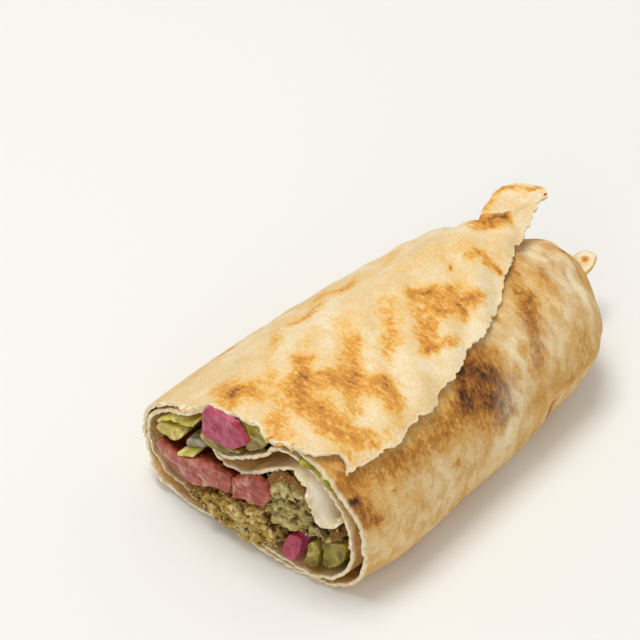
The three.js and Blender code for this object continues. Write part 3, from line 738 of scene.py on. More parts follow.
def bread_material():
    if "flatbread" in bpy.data.materials:
        return bpy.data.materials["flatbread"]
    look = bpy.context.scene.wrap_bread
    material, shade, shader = new_material("flatbread", IOR=1.4, Specular_IOR_Level=0.35)
    at = shade.place()
    # Patterns are drawn out round the roll, as the dough was stretched.
    drawn = shade.add("Mapping", {"Vector": at, "Scale": (0.6, 1.0, 0.6)}).outputs[0]
    drift = shade.noise(at, 13.0, detail=2.0)
    blotch = shade.noise(drawn, 4.2, detail=5.0, rough=0.62, warp=0.35)
    fine = shade.noise(drawn, 1.0, detail=4.0, rough=0.68)
    grain = shade.noise(at, 0.4, detail=3.0, rough=0.7)
    toast = shade.value("toast")
    heat = shade.effect(
        "Grilled patches", {"Vector": drawn, "Heat": toast, "Patch size": 2.4, "Break-up": 0.46}
    )
    cream = shade.mix(shade.step(drift, 0.38, 0.62), tuple(look.cream), rgb("eed3a0"))
    cream = shade.tint(cream, shade.step(blotch, 0.48, 0.68), 0.6, "f1ca86")
    tan = shade.mix(shade.step(blotch, 0.56, 0.4), tuple(look.tan), rgb("edd19a"))
    tan = shade.tint(tan, shade.step(blotch, 0.52, 0.66), 0.8, "d8a24e")
    tan = shade.tint(tan, shade.step(fine, 0.52, 0.72), 0.45, "cd9d60")
    tan = shade.tint(tan, shade.step(drift, 0.52, 0.68), 0.35, "dca661")
    base = shade.mix(shade.value("body"), cream, tan)
    # Browning tones, which along the crest and under the flap's edge also paint shadow.
    flap_toast = shade.ramp(heat, FLAP_BROWNING)
    body_toast = shade.ramp(heat, BODY_BROWNING)
    toasted = shade.mix(shade.value("body"), flap_toast, body_toast)
    colour = shade.mix(shade.step(heat, 0.0, 0.45), base, toasted)
    mottle = shade.ramp(shade.noise(at, 0.7, detail=3.0, rough=0.7), [(0.35, "ffffff"), (0.65, "e6cfa6")])
    colour = shade.mix(0.4, colour, mottle, blend="MULTIPLY")
    specks = shade.effect("Scattered specks", {"Vector": at, "Spacing": 2.2, "Reach": 0.1, "Share": 0.25})
    colour = shade.tint(colour, specks, 0.35, "9a6a38")
    # The inner faces' darker, warmer tones are partly the bread's own colour, partly painted shade inside the
    # roll.
    inside = shade.mix(shade.step(blotch, 0.35, 0.65), rgb("d2b27c"), rgb("e6d0a2"))
    golden = shade.mix(shade.step(blotch, 0.35, 0.65), rgb("c48f48"), rgb("e6bf7c"))
    inside = shade.mix(shade.value("golden"), inside, golden)
    colour = shade.mix(shade.value("inner"), colour, inside)
    # Pale streaks, with painted light on the fold's lip and on the folded end's top.
    pale_tone = shade.mix(shade.value("body"), rgb("fff8e6"), rgb("fbecc8"))
    pale = shade.math("MULTIPLY", shade.value("pale"), shade.step(blotch, 0.72, 0.36), clamp=True)
    colour = shade.mix(shade.math("MULTIPLY", pale, 0.95), colour, pale_tone)
    crumb = shade.mix(shade.step(fine, 0.35, 0.65), rgb("f5e9cb"), rgb("e2cb9b"))
    colour = shade.mix(shade.value("crumb"), colour, crumb)
    normal = shade.bump(grain, 0.35, 0.18)
    normal = shade.bump(fine, 0.35, 0.25, normal)
    normal = shade.bump(blotch, 0.45, 0.7, normal)
    shade.feed(shader, Base_Color=colour, Roughness=shade.step(fine, 0.3, 0.7, 0.58, 0.75), Normal=normal)
    return material


def bread_values(piece, s, y, outer, rim):
    """Writes what the bread's material reads: browning with some painted shadow, pale values with some
    painted light, body tone, inner face with partly painted shade, and torn crumb.
    """
    flap = s < FLAP_END
    heat = np.where(flap, marks(FLAP_TOAST, s, y), marks(BODY_TOAST, s, y))
    heat = np.where(flap & (y > 80), np.maximum(heat, marks(EAR_TOAST, s, y)), heat)
    set_values(piece, "toast", heat * outer)
    # Painted light: the fold's lip is made pale near the cut, where it catches the light.
    set_values(piece, "pale", np.maximum(marks(PALE, s, y) * outer, lip(s) * (1 - smooth(y / 12))))
    # The hidden turns take a darker golden tone: partly their own colour, partly painted shade.
    set_values(piece, "golden", np.maximum(1 - smooth((s - 350) / 40), 0.7 * band(s, 372, 8, 430, 8)))
    set_values(piece, "body", band(s, 52, 26, 222, 14) * outer)
    set_values(piece, "inner", np.maximum(1 - outer, smooth((s - 236) / 8)))
    set_values(piece, "crumb", rim)


def plain_values(piece):
    """Small scraps of bread show only their toast and pale values."""
    for name in ("body", "inner", "crumb", "golden"):
        set_values(piece, name, np.zeros(len(piece.data.vertices)))


def line_noise(t, sizes, seed):
    """Noise along a line, summed over sizes given as (size, strength)."""
    layers = enumerate(sizes)
    return sum(strength * ripple_of(t, t * 0 + 1.0, size, seed + i) for i, (size, strength) in layers)


def ribs(s, y):
    """Soft ribs that run slantwise round the flap, from -1 in the furrows to 1."""
    return -np.cos(2 * np.pi * (0.63 * s - 0.78 * y - 3.3) / 9.4 + 0.5 * ripple_of(s, y, 12, 35))


def lip(s):
    """Where the fold comes down beside the filling, and its edge leans out of the cut."""
    return band(s, 439, 5, 458, 3)


def bread_position(a, y, torn):
    """Where a point of the flat bread comes to lie: a from the loose edge, y along the roll."""
    near_cut = np.maximum(0, 1 - y / 3)
    flap_edge = np.interp(a, *np.array(FLAP_EDGE).T) * (1 - smooth((a - 58) / 4))
    jag = torn * line_noise(a, ((4.5, 0.6), (1.5, 0.5), (0.7, 0.35)), 11)
    y = y + flap_edge * (1 - smooth(y / 12)) + jag * near_cut
    a = a + torn * line_noise(y, ((5, 1.6), (2.0, 1.1), (0.8, 0.7)), 21) * np.maximum(0, 1 - a / 3)
    low_y = np.minimum(y, ROLL_END)
    s = a + loose_edge(low_y) * (1 - smooth(a / 70))
    low = on_roll(s, low_y)
    inwards = on_roll(s, low_y, 1.0) - low
    # The outer turn's last rows sink under the folded end; soft dents over the whole bread.
    outer_turn = band(s, 41, 5, 232, 4)
    dents = 0.26 * ripple_of(a, y, 13, 31) + 0.16 * ripple_of(a, y, 6, 32) + 0.07 * ripple_of(a, y, 2.5, 33)
    dents *= smooth(y / 5) * (1 - 0.7 * smooth((a - 240) / 10))
    dents += 0.46 * ribs(s, y) * smooth((y - 6) / 10) * (1 - smooth((s - 50) / 20))
    # The second turn lies against the outer one on the left.
    dents += 0.45 * band(s, 250, 12, 310, 15)
    # The flap's loose edge stands off the roll.
    uneven = 1 + 0.6 * ripple_of(a * 0, y, 9, 34)
    dents += 0.6 * (1 - smooth(a / 5)) * band(y, 4, 8, 55, 20) * uneven
    low += inwards * (0.7 * smooth((y - 80) / 5) * outer_turn - dents)[:, None]
    low[:, 2] += lift(s, low_y)
    # Low on the left the rims stand out from under the filling.
    rim = band(s, 82, 14, 130, 22) + 0.7 * band(s, 282, 14, 325, 22)
    rim *= 1 - smooth((y + 1) / 15)
    low += rim[:, None] * RIM_OUT
    # The fold's edge leans out of the cut, beside the filling.
    lean = lip(s) * (1 - smooth((y + 1) / 7))
    low += lean[:, None] * LIP_OUT
    past = y > ROLL_END
    if past.any():
        low[past] = ear_position(a[past], y[past], low[past], on_roll(s[past], low_y[past] - 2))
    return low, s, y


def ear_position(a, y, end, before):
    """The flap's far corner past the roll: a crest running slantwise across it, with a dip behind."""
    rows = np.array(EAR, float)
    across = np.clip(1 - a / EAR_WIDTH, -0.2, 1.2)
    left = np.interp(y, rows[:, 0], rows[:, 1]) + 0.3 * line_noise(y, ((3, 1), (1.2, 0.6)), 27)
    right = np.interp(y, rows[:, 0], rows[:, 2])
    tip = np.exp(-(((y - 104) / 1.6) ** 2)) * smooth((across - 0.6) / 0.4)
    x = left + (right - left) * across + 0.8 * tip
    height = np.interp(y, rows[:, 0], rows[:, 3]) - 1.4 * (1 - across) ** 2
    ear = np.stack([x, y + 0.4 * tip, height], -1)
    end = end + (end - before) * ((y - ROLL_END) / 2)[:, None] * 0.8
    joined = smooth((y - ROLL_END) / 5)[:, None]
    low = end * (1 - joined) + ear * joined
    behind = (y - (86.8 + 1.28 * (low[:, 0] + 0.5))) / 1.6
    dip = 2.0 * band(behind, 0, 1.6, 2.5, 7)
    low[:, 2] += (0.5 * np.exp(-(behind**2)) - dip) * (1 - smooth((low[:, 0] - 4) / 2.5))
    low[:, 2] += 0.5 * np.exp(-(((y - 105.2) / 0.9) ** 2)) * smooth((0.75 - across) / 0.3)
    return low


class WRAP_OT_stage(bpy.types.Operator):
    """Adds the floor, the lights and the camera"""

    bl_idname = "wrap.stage"
    bl_label = "Stage"

    def execute(self, context):
        look = context.scene.wrap_stage
        deselect()
        bpy.ops.mesh.primitive_plane_add(size=8)
        floor = context.object
        floor.name = "floor"
        material, _, shader = new_material("floor", Roughness=0.75, Specular_IOR_Level=0.2)
        shader.inputs["Base Color"].default_value = look.floor_colour
        floor.data.materials.append(material)
        world = bpy.data.worlds.new("studio")
        world.use_nodes = True
        background = next(n for n in world.node_tree.nodes if n.type == "BACKGROUND")
        background.inputs["Color"].default_value = rgb("fbfaf8")
        background.inputs["Strength"].default_value = look.sky
        context.scene.world = world
        aim = Vector((0, 0, 0.02))
        for name, where, size, power in (
            ("key", (-0.17, -0.07, 1.15), 0.45, look.key_power),
            ("fill", (0.5, -1.1, 0.5), 0.9, look.fill_power),
        ):
            bpy.ops.object.light_add(type="AREA", location=where)
            light = context.object
            light.name = name
            light.data.size = size
            light.data.energy = power
            light.rotation_euler = (aim - Vector(where)).to_track_quat("-Z", "Y").to_euler()
        bpy.ops.object.camera_add()
        camera = context.object
        camera.name = "camera"
        camera.data.sensor_width = 36
        camera.data.lens = 36 * 2600 / 640
        camera.data.clip_start, camera.data.clip_end = 0.01, 50
        right, up = Vector((0.75471, 0.65606, 0)), Vector((-0.46390, 0.53366, 0.70711))
        turned = Matrix((right, up, right.cross(up))).transposed().to_4x4()
        spot = (np.array([289.580, -308.383, 496.518]) - ORIGIN) * MM
        camera.matrix_world = Matrix.Translation(Vector(spot)) @ turned
        context.scene.camera = camera
        context.scene.view_settings.view_transform = "Standard"
        deselect()
        return {"FINISHED"}


class WRAP_OT_bread(bpy.types.Operator):
    """Rolls the flatbread with its flap and ear"""

    bl_idname = "wrap.bread"
    bl_label = "Flatbread"

    def execute(self, context):
        look = context.scene.wrap_bread
        sheet = new_grid("flatbread_roll", SHEET_COLUMNS, SHEET_ROWS)
        flat = fetch(sheet) * (roll.length, ROLL_END, 1)
        sheet.data.vertices.foreach_set("co", flat.ravel())
        # The flap's far corner is drawn out of the flat sheet, row by row.
        activate(sheet)
        bpy.ops.object.mode_set(mode="EDIT")
        bpy.ops.mesh.select_mode(type="EDGE")
        bpy.ops.mesh.select_all(action="DESELECT")
        mesh = bmesh.from_edit_mesh(sheet.data)
        for edge in mesh.edges:
            middle = (edge.verts[0].co + edge.verts[1].co) / 2
            if edge.is_boundary and middle.y > ROLL_END - 0.01 and middle.x < EAR_WIDTH:
                edge.select_set(True)
        bmesh.update_edit_mesh(sheet.data)
        for _ in range(EAR_ROWS):
            bpy.ops.mesh.extrude_region_move(TRANSFORM_OT_translate={"value": (0, EAR_LENGTH / EAR_ROWS, 0)})
        for reach in (4.8, 2.6):
            select_faces(sheet, lambda c: c.y < reach or c.x < reach or (c.y > 101 and c.x < 20))
            bpy.ops.mesh.subdivide(number_cuts=1)
        bpy.ops.object.mode_set(mode="OBJECT")
        flat = fetch(sheet)
        points, s, y = bread_position(flat[:, 0], flat[:, 1], look.torn / MM)
        write(sheet, points)
        for name, values in (("s", s), ("y", y), ("a", flat[:, 0]), ("b", flat[:, 1])):
            set_values(sheet, name, values)
        # The bread thins out towards its edges.
        thin = 1 - 0.15 * (1 - smooth(flat[:, 1] / 3)) - 0.3 * (1 - smooth(flat[:, 0] / 3))
        thick = sheet.vertex_groups.new(name="thick")
        for index, weight in enumerate(thin):
            thick.add([index], float(weight), "REPLACE")
        count = len(sheet.data.vertices)
        add_modifier(
            sheet, "SOLIDIFY", thickness=look.thickness, offset=0.0,
            vertex_group="thick", thickness_vertex_group=0.0,
        )
        s, y = get_values(sheet, "s"), get_values(sheet, "y")
        first = np.arange(len(s)) < count
        shift = read(sheet) - np.vstack([points, points])
        low_y = np.minimum(y, ROLL_END)
        inwards = on_roll(s, low_y, 1.0) - on_roll(s, low_y, -1.0)
        first_is_inner = np.sum((shift * inwards)[first]) > 0
        outer = np.where(first, 1.0 - first_is_inner, float(first_is_inner))
        a, b = get_values(sheet, "a"), get_values(sheet, "b")
        torn = b + 0.15 * ripple_of(a, b, 1.2, 42)
        rim = np.maximum(1 - smooth(torn / 1.1), (1 - smooth(a / 0.9)) * 0.9)
        bread_values(sheet, s, y, outer, rim)
        points = read(sheet)
        crumbly = np.minimum(1, 1.4 * (1 - smooth(b / 1.5)) + (1 - smooth(a / 1.5)))
        rough = 0.2 * ripple(points, 1.1, 41) + 0.12 * ripple(points, 0.55, 43)
        points += fetch(sheet, "normal") * (rough * crumbly)[:, None]
        points[:, 2] = np.maximum(points[:, 2], 0.0)
        write(sheet, points)
        sheet.data.materials.append(bread_material())
        finish_piece(sheet, "bread", "flatbread")
        return {"FINISHED"}


class WRAP_OT_folded_end(bpy.types.Operator):
    """Closes the roll with its pleated end and the corner of bread tucked into it"""

    bl_idname = "wrap.folded_end"
    bl_label = "Folded end"

    def execute(self, context):
        end = new_grid("folded_end", 240, 64)
        flat = fetch(end)
        turns, v = flat[:, 0] % 1.0, flat[:, 1]
        level = np.where(v < FOOT, END_START + (DOME_START - END_START) * v / FOOT, DOME_START)
        angle = np.clip((v - FOOT) / (1 - FOOT), 0, 1) * math.pi / 2
        rise = np.sin(angle) ** SQUARENESS
        shrink = np.maximum(np.cos(angle), 0) ** SQUARENESS
        y = level + (CROWN - DOME_START) * rise
        inset = -0.575 + 0.45 * (1 - smooth((y - 78) / 5)) - 0.12 * smooth((y - 80) / 4)
        section = wound(turns, inset)
        body = place(section[:, 0], section[:, 1], np.minimum(y, ROLL_END))
        pleats = np.abs(np.sin(math.pi * 7 * (turns + 0.05 * np.sin(9 * rise)))) ** 0.7
        scale = shrink * (1 - 0.06 * smooth(rise * 1.2) * (1 - pleats))
        across = DOME_CENTRE[0] + (body[:, 0] - DOME_CENTRE[0]) * scale
        up = DOME_CENTRE[1] + (body[:, 2] - DOME_CENTRE[1]) * scale
        slope = 0.2 * smooth((14 - across) / 12) + 0.13 * smooth((across - 20) / 8)
        points = np.stack([across, y, up * (1 - rise * slope)], 1)
        out = points - np.array([DOME_CENTRE[0], 84, DOME_CENTRE[1]])
        out /= np.linalg.norm(out, axis=1, keepdims=True)
        dents = 0.35 * ripple(points, 9, 51) + 0.15 * ripple(points, 4, 52)
        points += out * dents[:, None] * smooth((y - 84) / 6)[:, None]
        flatter = np.exp(-(((points[:, 0] - 14) / 7) ** 2 + ((points[:, 1] - 92) / 6) ** 2))
        points[:, 2] = np.maximum(points[:, 2] - 1.3 * flatter * smooth((points[:, 2] - 20) / 10), 0.0)
        write(end, points)
        set_values(end, "s", BODY_FROM + ((turns - 0.1) % 1.0) * turn.length)
        set_values(end, "y", np.where(v < FOOT, level, DOME_START + 46 * (v - FOOT) / (1 - FOOT)))
        edit_all(
            end,
            (bpy.ops.mesh.remove_doubles, {"threshold": 1e-6}),
            (bpy.ops.mesh.normals_make_consistent, {"inside": False}),
        )
        add_modifier(end, "SOLIDIFY", thickness=0.6 * MM, offset=-1.0)
        s, y = get_values(end, "s"), get_values(end, "y")
        bread_values(end, s, y, np.ones_like(s), np.zeros_like(s))
        end.data.materials.append(bread_material())
        finish_piece(end, "bread")

        tab = new_grid("tucked_corner", 24, 40)
        flat = fetch(tab)
        across, t = flat[:, 0] - 0.5, flat[:, 1]
        width = 7.4 * np.sqrt(1 - 0.985 * np.clip((t - 0.55) / 0.45, 0, 1) ** 2)
        edge = 0.14 * width * ripple_of(t * 16, across, 2.0, 61)
        x = 14.4 + across * (width + edge)
        y = 102 + 16.7 * t + 0.3 * ripple_of(across * width, t, 1.5, 62) * t
        z = 17.1 + 2.5 * (t * t + 2 * across**2 * (1 - t * t))
        z = z + 0.7 * ripple_of(x, y, 3.6, 63) * smooth(t * 2)
        write(tab, np.stack([x, y, z], 1))
        set_values(tab, "t", t)
        set_values(tab, "e", np.abs(across) * 2)
        add_modifier(tab, "SOLIDIFY", thickness=0.9 * MM, offset=0.0)
        t, e = get_values(tab, "t"), get_values(tab, "e")
        points = read(tab)
        brown = 0.55 * np.exp(-(((points[:, 0] - 14.5) ** 2 + (points[:, 1] - 115.5) ** 2) / 1.6))
        brown = np.maximum(brown, 0.3 * smooth((e - 0.8) / 0.2) * smooth(t * 2))
        brown = np.maximum(brown, 0.34 * smooth((t - 0.92) / 0.08))
        set_values(tab, "toast", brown)
        plain_values(tab)
        set_values(tab, "pale", 0.7 * (1 - smooth(brown / 0.3)))
        tab.data.materials.append(bread_material())
        finish_piece(tab, "bread")
        return {"FINISHED"}


def relief(piece, layers):
    """Displaces the piece by clouds, given as (size, depth)."""
    for size, depth in layers:
        texture = bpy.data.textures.new(piece.name, "CLOUDS")
        texture.noise_scale = size * MM
        add_modifier(
            piece, "DISPLACE", texture=texture, texture_coords="LOCAL", direction="NORMAL",
            mid_level=0.5, strength=depth * MM,
        )


def front_depth(points):
    """How far behind the cut's own surface each point lies."""
    return points[:, 1] - cut_face(points[:, 0])


def reach(corners, middle, angle):
    """How far an outline lies from its middle in each direction."""
    corners = np.array(corners) - middle
    along_side = np.linspace(0, 1, 12, endpoint=False)[:, None, None]
    line = ((1 - along_side) * corners + along_side * np.roll(corners, -1, 0)).reshape(-1, 2)
    around = np.arctan2(line[:, 1], line[:, 0])
    order = np.argsort(around)
    return np.interp(angle, around[order], np.hypot(line[:, 0], line[:, 1])[order], period=2 * np.pi)


def sharpened(points, outline):
    """Gives the piece's cut end a new outline, fading into the old one behind it."""
    depth = front_depth(points)
    depth -= depth.min()
    section = points[:, [0, 2]]
    end = section[depth < 1.2]
    old_middle = (end.min(0) + end.max(0)) / 2
    new_middle = (np.min(outline, 0) + np.max(outline, 0)) / 2
    rim = end - old_middle
    around = np.arctan2(rim[:, 1], rim[:, 0])
    bins = np.floor((around + np.pi) / (2 * np.pi) * 60).astype(int) % 60
    reached = np.zeros(60)
    np.maximum.at(reached, bins, np.hypot(rim[:, 0], rim[:, 1]))
    beside = section - old_middle
    angle = np.arctan2(beside[:, 1], beside[:, 0])
    old = np.interp(angle, (np.arange(60) + 0.5) * np.pi / 30 - np.pi, reached, period=2 * np.pi)
    drawn = new_middle + beside * (reach(outline, new_middle, angle) / old)[:, None]
    fresh = (1 - smooth((depth - 3) / 7))[:, None]
    points[:, [0, 2]] = section * (1 - fresh) + drawn * fresh
    return points


def drop_specks(piece):
    """Deletes what remeshing leaves apart from the piece itself."""
    select_faces(piece, lambda centre: False)
    mesh = bmesh.from_edit_mesh(piece.data)
    mesh.faces.ensure_lookup_table()
    mesh.faces[len(mesh.faces) // 2].select_set(True)
    bmesh.update_edit_mesh(piece.data)
    bpy.ops.mesh.select_linked()
    if piece.data.total_vert_sel < len(piece.data.vertices) / 2:
        raise RuntimeError(piece.name + ": the selected part isn't the piece itself")
    bpy.ops.mesh.select_all(action="INVERT")
    bpy.ops.mesh.delete(type="VERT")
    bpy.ops.object.mode_set(mode="OBJECT")


def filling_copy(node, voxel):
    piece = copy_of(node, node + "_piece")
    add_modifier(piece, "REMESH", mode="VOXEL", voxel_size=voxel, use_smooth_shade=True)
    drop_specks(piece)
    return piece


def crumble(piece, grain, other):
    """Breaks a falafel's surface into soft clumps and creases, deepest beside the other piece."""
    points, n = read(piece), fetch(piece, "normal")
    drawn = points + 0.7 * np.stack([ripple(points, 1.9, k) for k in (82, 83, 84)], 1)
    near, next_near, value = clumps(drawn, 4.4, 81)
    crease = smooth((next_near - near) / 0.2) + smooth(2 * ripple(points, 5, 85))
    rise = 1.5 * np.minimum(crease - 1, 0) + 0.5 * value
    lump = 0.16 * value
    for size, depth, seed in ((2.4, 0.8, 91), (1.2, 0.5, 92), (0.6, 0.35, 93)):
        rise += depth * (np.abs(ripple(drawn, size, seed)) - 0.3)
    grains = 0.0
    for size, depth, seed in ((1.5, 0.36, 95), (0.85, 0.28, 99)):
        near, next_near, value = clumps(drawn, size, seed)
        rise += depth * (smooth((next_near - near) / 0.35) - 0.6 + 0.7 * value)
        grains = grains + 0.22 * value
    tree = KDTree(len(other))
    for index in np.flatnonzero(other[:, 1] < 8):
        tree.insert(other[index], index)
    tree.balance()
    apart = np.full(len(points), 9.0)
    for index in np.flatnonzero(points[:, 1] < 6):
        apart[index] = tree.find(points[index])[2]
    gap = 1 - smooth(apart / 1.2)
    rise -= 1.2 * gap
    points = points + n * (grain * rise)[:, None]
    points[:, 1] += 0.8 * gap
    write(piece, points)
    # The depth of each crease is also the material's mask for painted shade.
    set_values(piece, "rise", rise)
    set_values(piece, "tone", 0.5 + 0.4 * ripple(drawn, 1.5, 94) + grains + lump)


def falafel_material(name, dark, middle, light, cool):
    material, shade, shader = new_material(name, Roughness=0.7, IOR=1.4)
    at = shade.place()
    rise, tone = shade.value("rise"), shade.value("tone")
    drift = shade.noise(at, 6.0, detail=2.0)
    fine = shade.noise(at, 0.5, detail=3.0, rough=0.7)
    colour = shade.mix(shade.step(tone, 0.15, 0.55), rgb(dark), rgb(middle))
    colour = shade.mix(shade.step(tone, 0.55, 0.95), colour, rgb(light))
    colour = shade.tint(colour, shade.step(drift, 0.5, 0.65), 0.6, cool)
    colour = shade.mix(shade.step(fine, 0.6, 0.35), colour, shade.mix(0.35, colour, rgb(dark)))
    colour = shade.mix(shade.step(fine, 0.6, 0.75), colour, shade.mix(0.5, colour, rgb(light)))
    herb = shade.effect("Scattered specks", {"Vector": at, "Spacing": 2.1, "Reach": 0.26, "Share": 0.07})
    colour = shade.tint(colour, herb, 0.8, "5d5f26")
    toasted = shade.mix(shade.step(fine, 0.35, 0.65), rgb("6b3f17"), rgb("a8712b"))
    crust = shade.math("MULTIPLY", shade.value("crust"), shade.step(fine, 0.25, 0.5, 0.6, 1.0), clamp=True)
    colour = shade.mix(crust, colour, toasted)
    # Painted shade: the creases, and the gap beside the other piece, darken by how deep they lie.
    colour = shade.tint(colour, shade.step(rise, -0.4, -1.1), 0.8, "7a5424")
    colour = shade.mix(shade.step(rise, -1.2, -1.9), colour, rgb("3a2009"))
    roughness = shade.step(fine, 0.3, 0.7, 0.85, 0.5)
    shade.feed(shader, Base_Color=colour, Roughness=roughness, Normal=shade.bump(fine, 0.6, 0.4))
    return material


class WRAP_OT_falafel(bpy.types.Operator):
    """Gives the falafel pieces their crumb and crust"""

    bl_idname = "wrap.falafel"
    bl_label = "Falafel"

    def execute(self, context):
        look = context.scene.wrap_filling
        tones = {
            "falafel_left": ("93702a", "cba74e", "f0dc9c", "b0a45c"),
            "falafel_right": ("958343", "c3b169", "eadaa4", "aeaa82"),
        }
        pieces = {node: filling_copy(node, look.detail) for node in tones}
        originals = {node: read(piece) for node, piece in pieces.items()}
        for node, codes in tones.items():
            piece = pieces[node]
            other = next(spots for name, spots in originals.items() if name != node)
            points = read(piece)
            depth = front_depth(points)
            edge = smooth((depth - 1.5) / 3)
            if node == "falafel_right":
                # It fills the corner under the fold.
                corner = (1 - smooth((points[:, 0] - 11) / 8)) * (1 - smooth((depth - 3) / 6))
                points[:, 2] += 2.2 * corner * smooth((points[:, 2] - 22) / 8)
                points[:, 0] -= 1.8 * corner
                write(piece, points)
                # Its crust shows along the top.
                above = points[:, 2] - 32.5 + 0.12 * (points[:, 0] - 17) ** 2
                edge = np.maximum(edge, smooth(above / 1.6))
            else:
                # Its lower edge rests on the bread, a little behind the rim.
                low = smooth((11 - points[:, 2]) / 10) * (1 - smooth(depth / 14))
                points += np.stack([-0.8 * low, 1.4 * low, -1.2 * low], 1)
                write(piece, points)
                edge = np.maximum(edge, 0.7 * smooth((6.5 - points[:, 2] - 0.15 * (points[:, 0] + 18)) / 2))
            set_values(piece, "crust", edge)
            crumble(piece, look.grain / MM * (0.8 if node == "falafel_right" else 1), other)
            piece.data.materials.append(falafel_material(node.replace("_", " ") + " crumb", *codes))
            finish_piece(piece, "falafel", node, angle=70)
        return {"FINISHED"}


def wet_material(name, colours, skin, patch, streak, sauce, gloss, soft, rough=0.35):
    """Wet vegetable flesh: tones in drifts and streaks, the skin behind the cut, and sauce with painted sheen
    over it.
    """
    material, shade, shader = new_material(name, IOR=1.38, Subsurface_Weight=soft, Subsurface_Scale=0.002)
    at = shade.place()
    drift = shade.noise(at, patch, detail=3.0, warp=0.5)
    colour = shade.ramp(drift, [(0.3, colours[0]), (0.5, colours[1]), (0.7, colours[2])])
    turned = shade.add("Mapping", {"Vector": at, "Rotation": (0.3, 0.5, 0.4), "Scale": (1.0, 0.25, 0.3)})
    fibres = shade.noise(turned.outputs[0], streak, detail=4.0, rough=0.6)
    colour = shade.mix(shade.step(fibres, 0.5, 0.75), colour, shade.mix(0.55, colour, rgb(colours[2])))
    colour = shade.mix(shade.step(fibres, 0.45, 0.25), colour, shade.mix(0.55, colour, rgb(colours[0])))
    colour = shade.mix(shade.step(shade.value("depth"), 1.0, 2.6, 0.0, 0.8), colour, rgb(skin))
    # Patches partly of sauce, partly of painted sheen, in a paler tone of the flesh.
    film = shade.effect("Sauce patches", {"Vector": at, "Patch size": 3.5, "Cover": sauce})
    thin_sauce = shade.mix(0.5, rgb("dfd4b2"), rgb(colours[2]))
    colour = shade.mix(shade.math("MULTIPLY", film, 0.7), colour, thin_sauce)
    fine = shade.noise(at, 0.8, detail=2.0)
    normal = shade.bump(fibres, 0.6, rough, shade.bump(fine, 0.35, 0.15))
    roughness = shade.step(fine, 0.3, 0.7, gloss, gloss + 0.2)
    shade.feed(shader, Base_Color=colour, Roughness=roughness, Normal=normal)
    return material


class WRAP_OT_vegetables(bpy.types.Operator):
    """Gives the tomato, turnip, pickle and cucumber pieces their cut flesh"""

    bl_idname = "wrap.vegetables"
    bl_label = "Vegetables"

    def execute(self, context):
        look = context.scene.wrap_filling
        kinds = {food: wet_material(*flesh) for food, flesh in WET.items()}
        reliefs = {
            "tomato": [(3.0, 0.25), (0.9, 0.06)],
            "turnip": [(2.5, 0.12), (0.8, 0.08)],
            "pickle": [(3.5, 0.22)],
            "cucumber": [(2.5, 0.3), (0.8, 0.14)],
        }
        for subpart in frame["record"]["subparts"]:
            food = subpart["material_slot"]
            if food not in kinds:
                continue
            node = subpart["node"]
            piece = filling_copy(node, look.detail * 0.75)
            relief(piece, reliefs[food])
            points = read(piece)
            if node in CUT_ENDS:
                points = sharpened(points, CUT_ENDS[node])
            depth = front_depth(points)
            # The piece lies askew, so that little more than its cut end shows.
            askew = ASKEW.get(node, 0) * np.clip(depth + 0.6, 0, 5)
            write(piece, points + askew[:, None] * ASKEW_TO)
            set_values(piece, "depth", depth - depth.min())
            piece.data.materials.append(kinds.get(node, kinds[food]))
            finish_piece(piece, food, node, angle=60)
        return {"FINISHED"}


class WRAP_OT_lettuce(bpy.types.Operator):
    """Gives the leaves their ruffled edges and veins"""

    bl_idname = "wrap.lettuce"
    bl_label = "Lettuce"

    def execute(self, context):
        # The pale leaf's tones partly carry painted light.
        dark, light = wet_material(*LEAF), wet_material(*PALE_LEAF)
        for node in ("lettuce_top", "lettuce_side", "lettuce_scrap"):
            piece = copy_of(node, node + "_leaf")
            edit_all(piece, (bpy.ops.mesh.subdivide, {"number_cuts": 3}))
            points = read(piece)
            wave = 0.35 * ripple(points, 2.4, 71) + 0.15 * ripple(points, 1.1, 72)
            points[:, 1] += 0.6 * ripple(points, 1.6, 73) * (1 - smooth(front_depth(points) / 6))
            points[:, 2] += wave
            if node == "lettuce_side":
                points[:, 1] -= 2.5 * (1 - smooth(front_depth(points) / 12))
            write(piece, points)
            piece.data.materials.append(dark if node == "lettuce_side" else light)
            finish_piece(piece, "lettuce", node, angle=60)
        return {"FINISHED"}


def scatter(name, base, spots):
    """One piece of turned and scaled copies of base, at spots given as (point, size, flatness) in mm."""
    chance = np.random.default_rng(7)
    for point, size, flat in spots:
        activate(base)
        bpy.ops.object.duplicate()
        copy = bpy.context.object
        copy.name = name
        copy.location = Vector((point - ORIGIN) * MM)
        copy.rotation_euler = chance.uniform(0, 6.3, 3)
        copy.scale = Vector(np.array([1, chance.uniform(0.7, 1), flat]) * size * MM)
        tone = chance.uniform(0, 1)
        set_values(copy, "tone", np.full(len(copy.data.vertices), tone))
    deselect()
    copies = [piece for piece in bpy.data.objects if piece.name.startswith(name) and piece is not base]
    for copy in copies:
        copy.select_set(True)
    bpy.context.view_layer.objects.active = copies[0]
    bpy.ops.object.join()
    piece = bpy.context.object
    bpy.ops.object.transform_apply(location=True, rotation=True, scale=True)
    piece.name = piece.data.name = name
    return piece


def surface_of(points):
    """A search tree over a piece's points."""
    tree = KDTree(len(points))
    for index, point in enumerate(points):
        tree.insert(point, index)
    tree.balance()
    return tree


def settled(point, tree, reach):
    """Brings a point that stands off a surface to within reach of it."""
    nearest, _, away = tree.find(point)
    if away <= reach:
        return point
    return np.array(nearest) + (point - np.array(nearest)) * reach / away


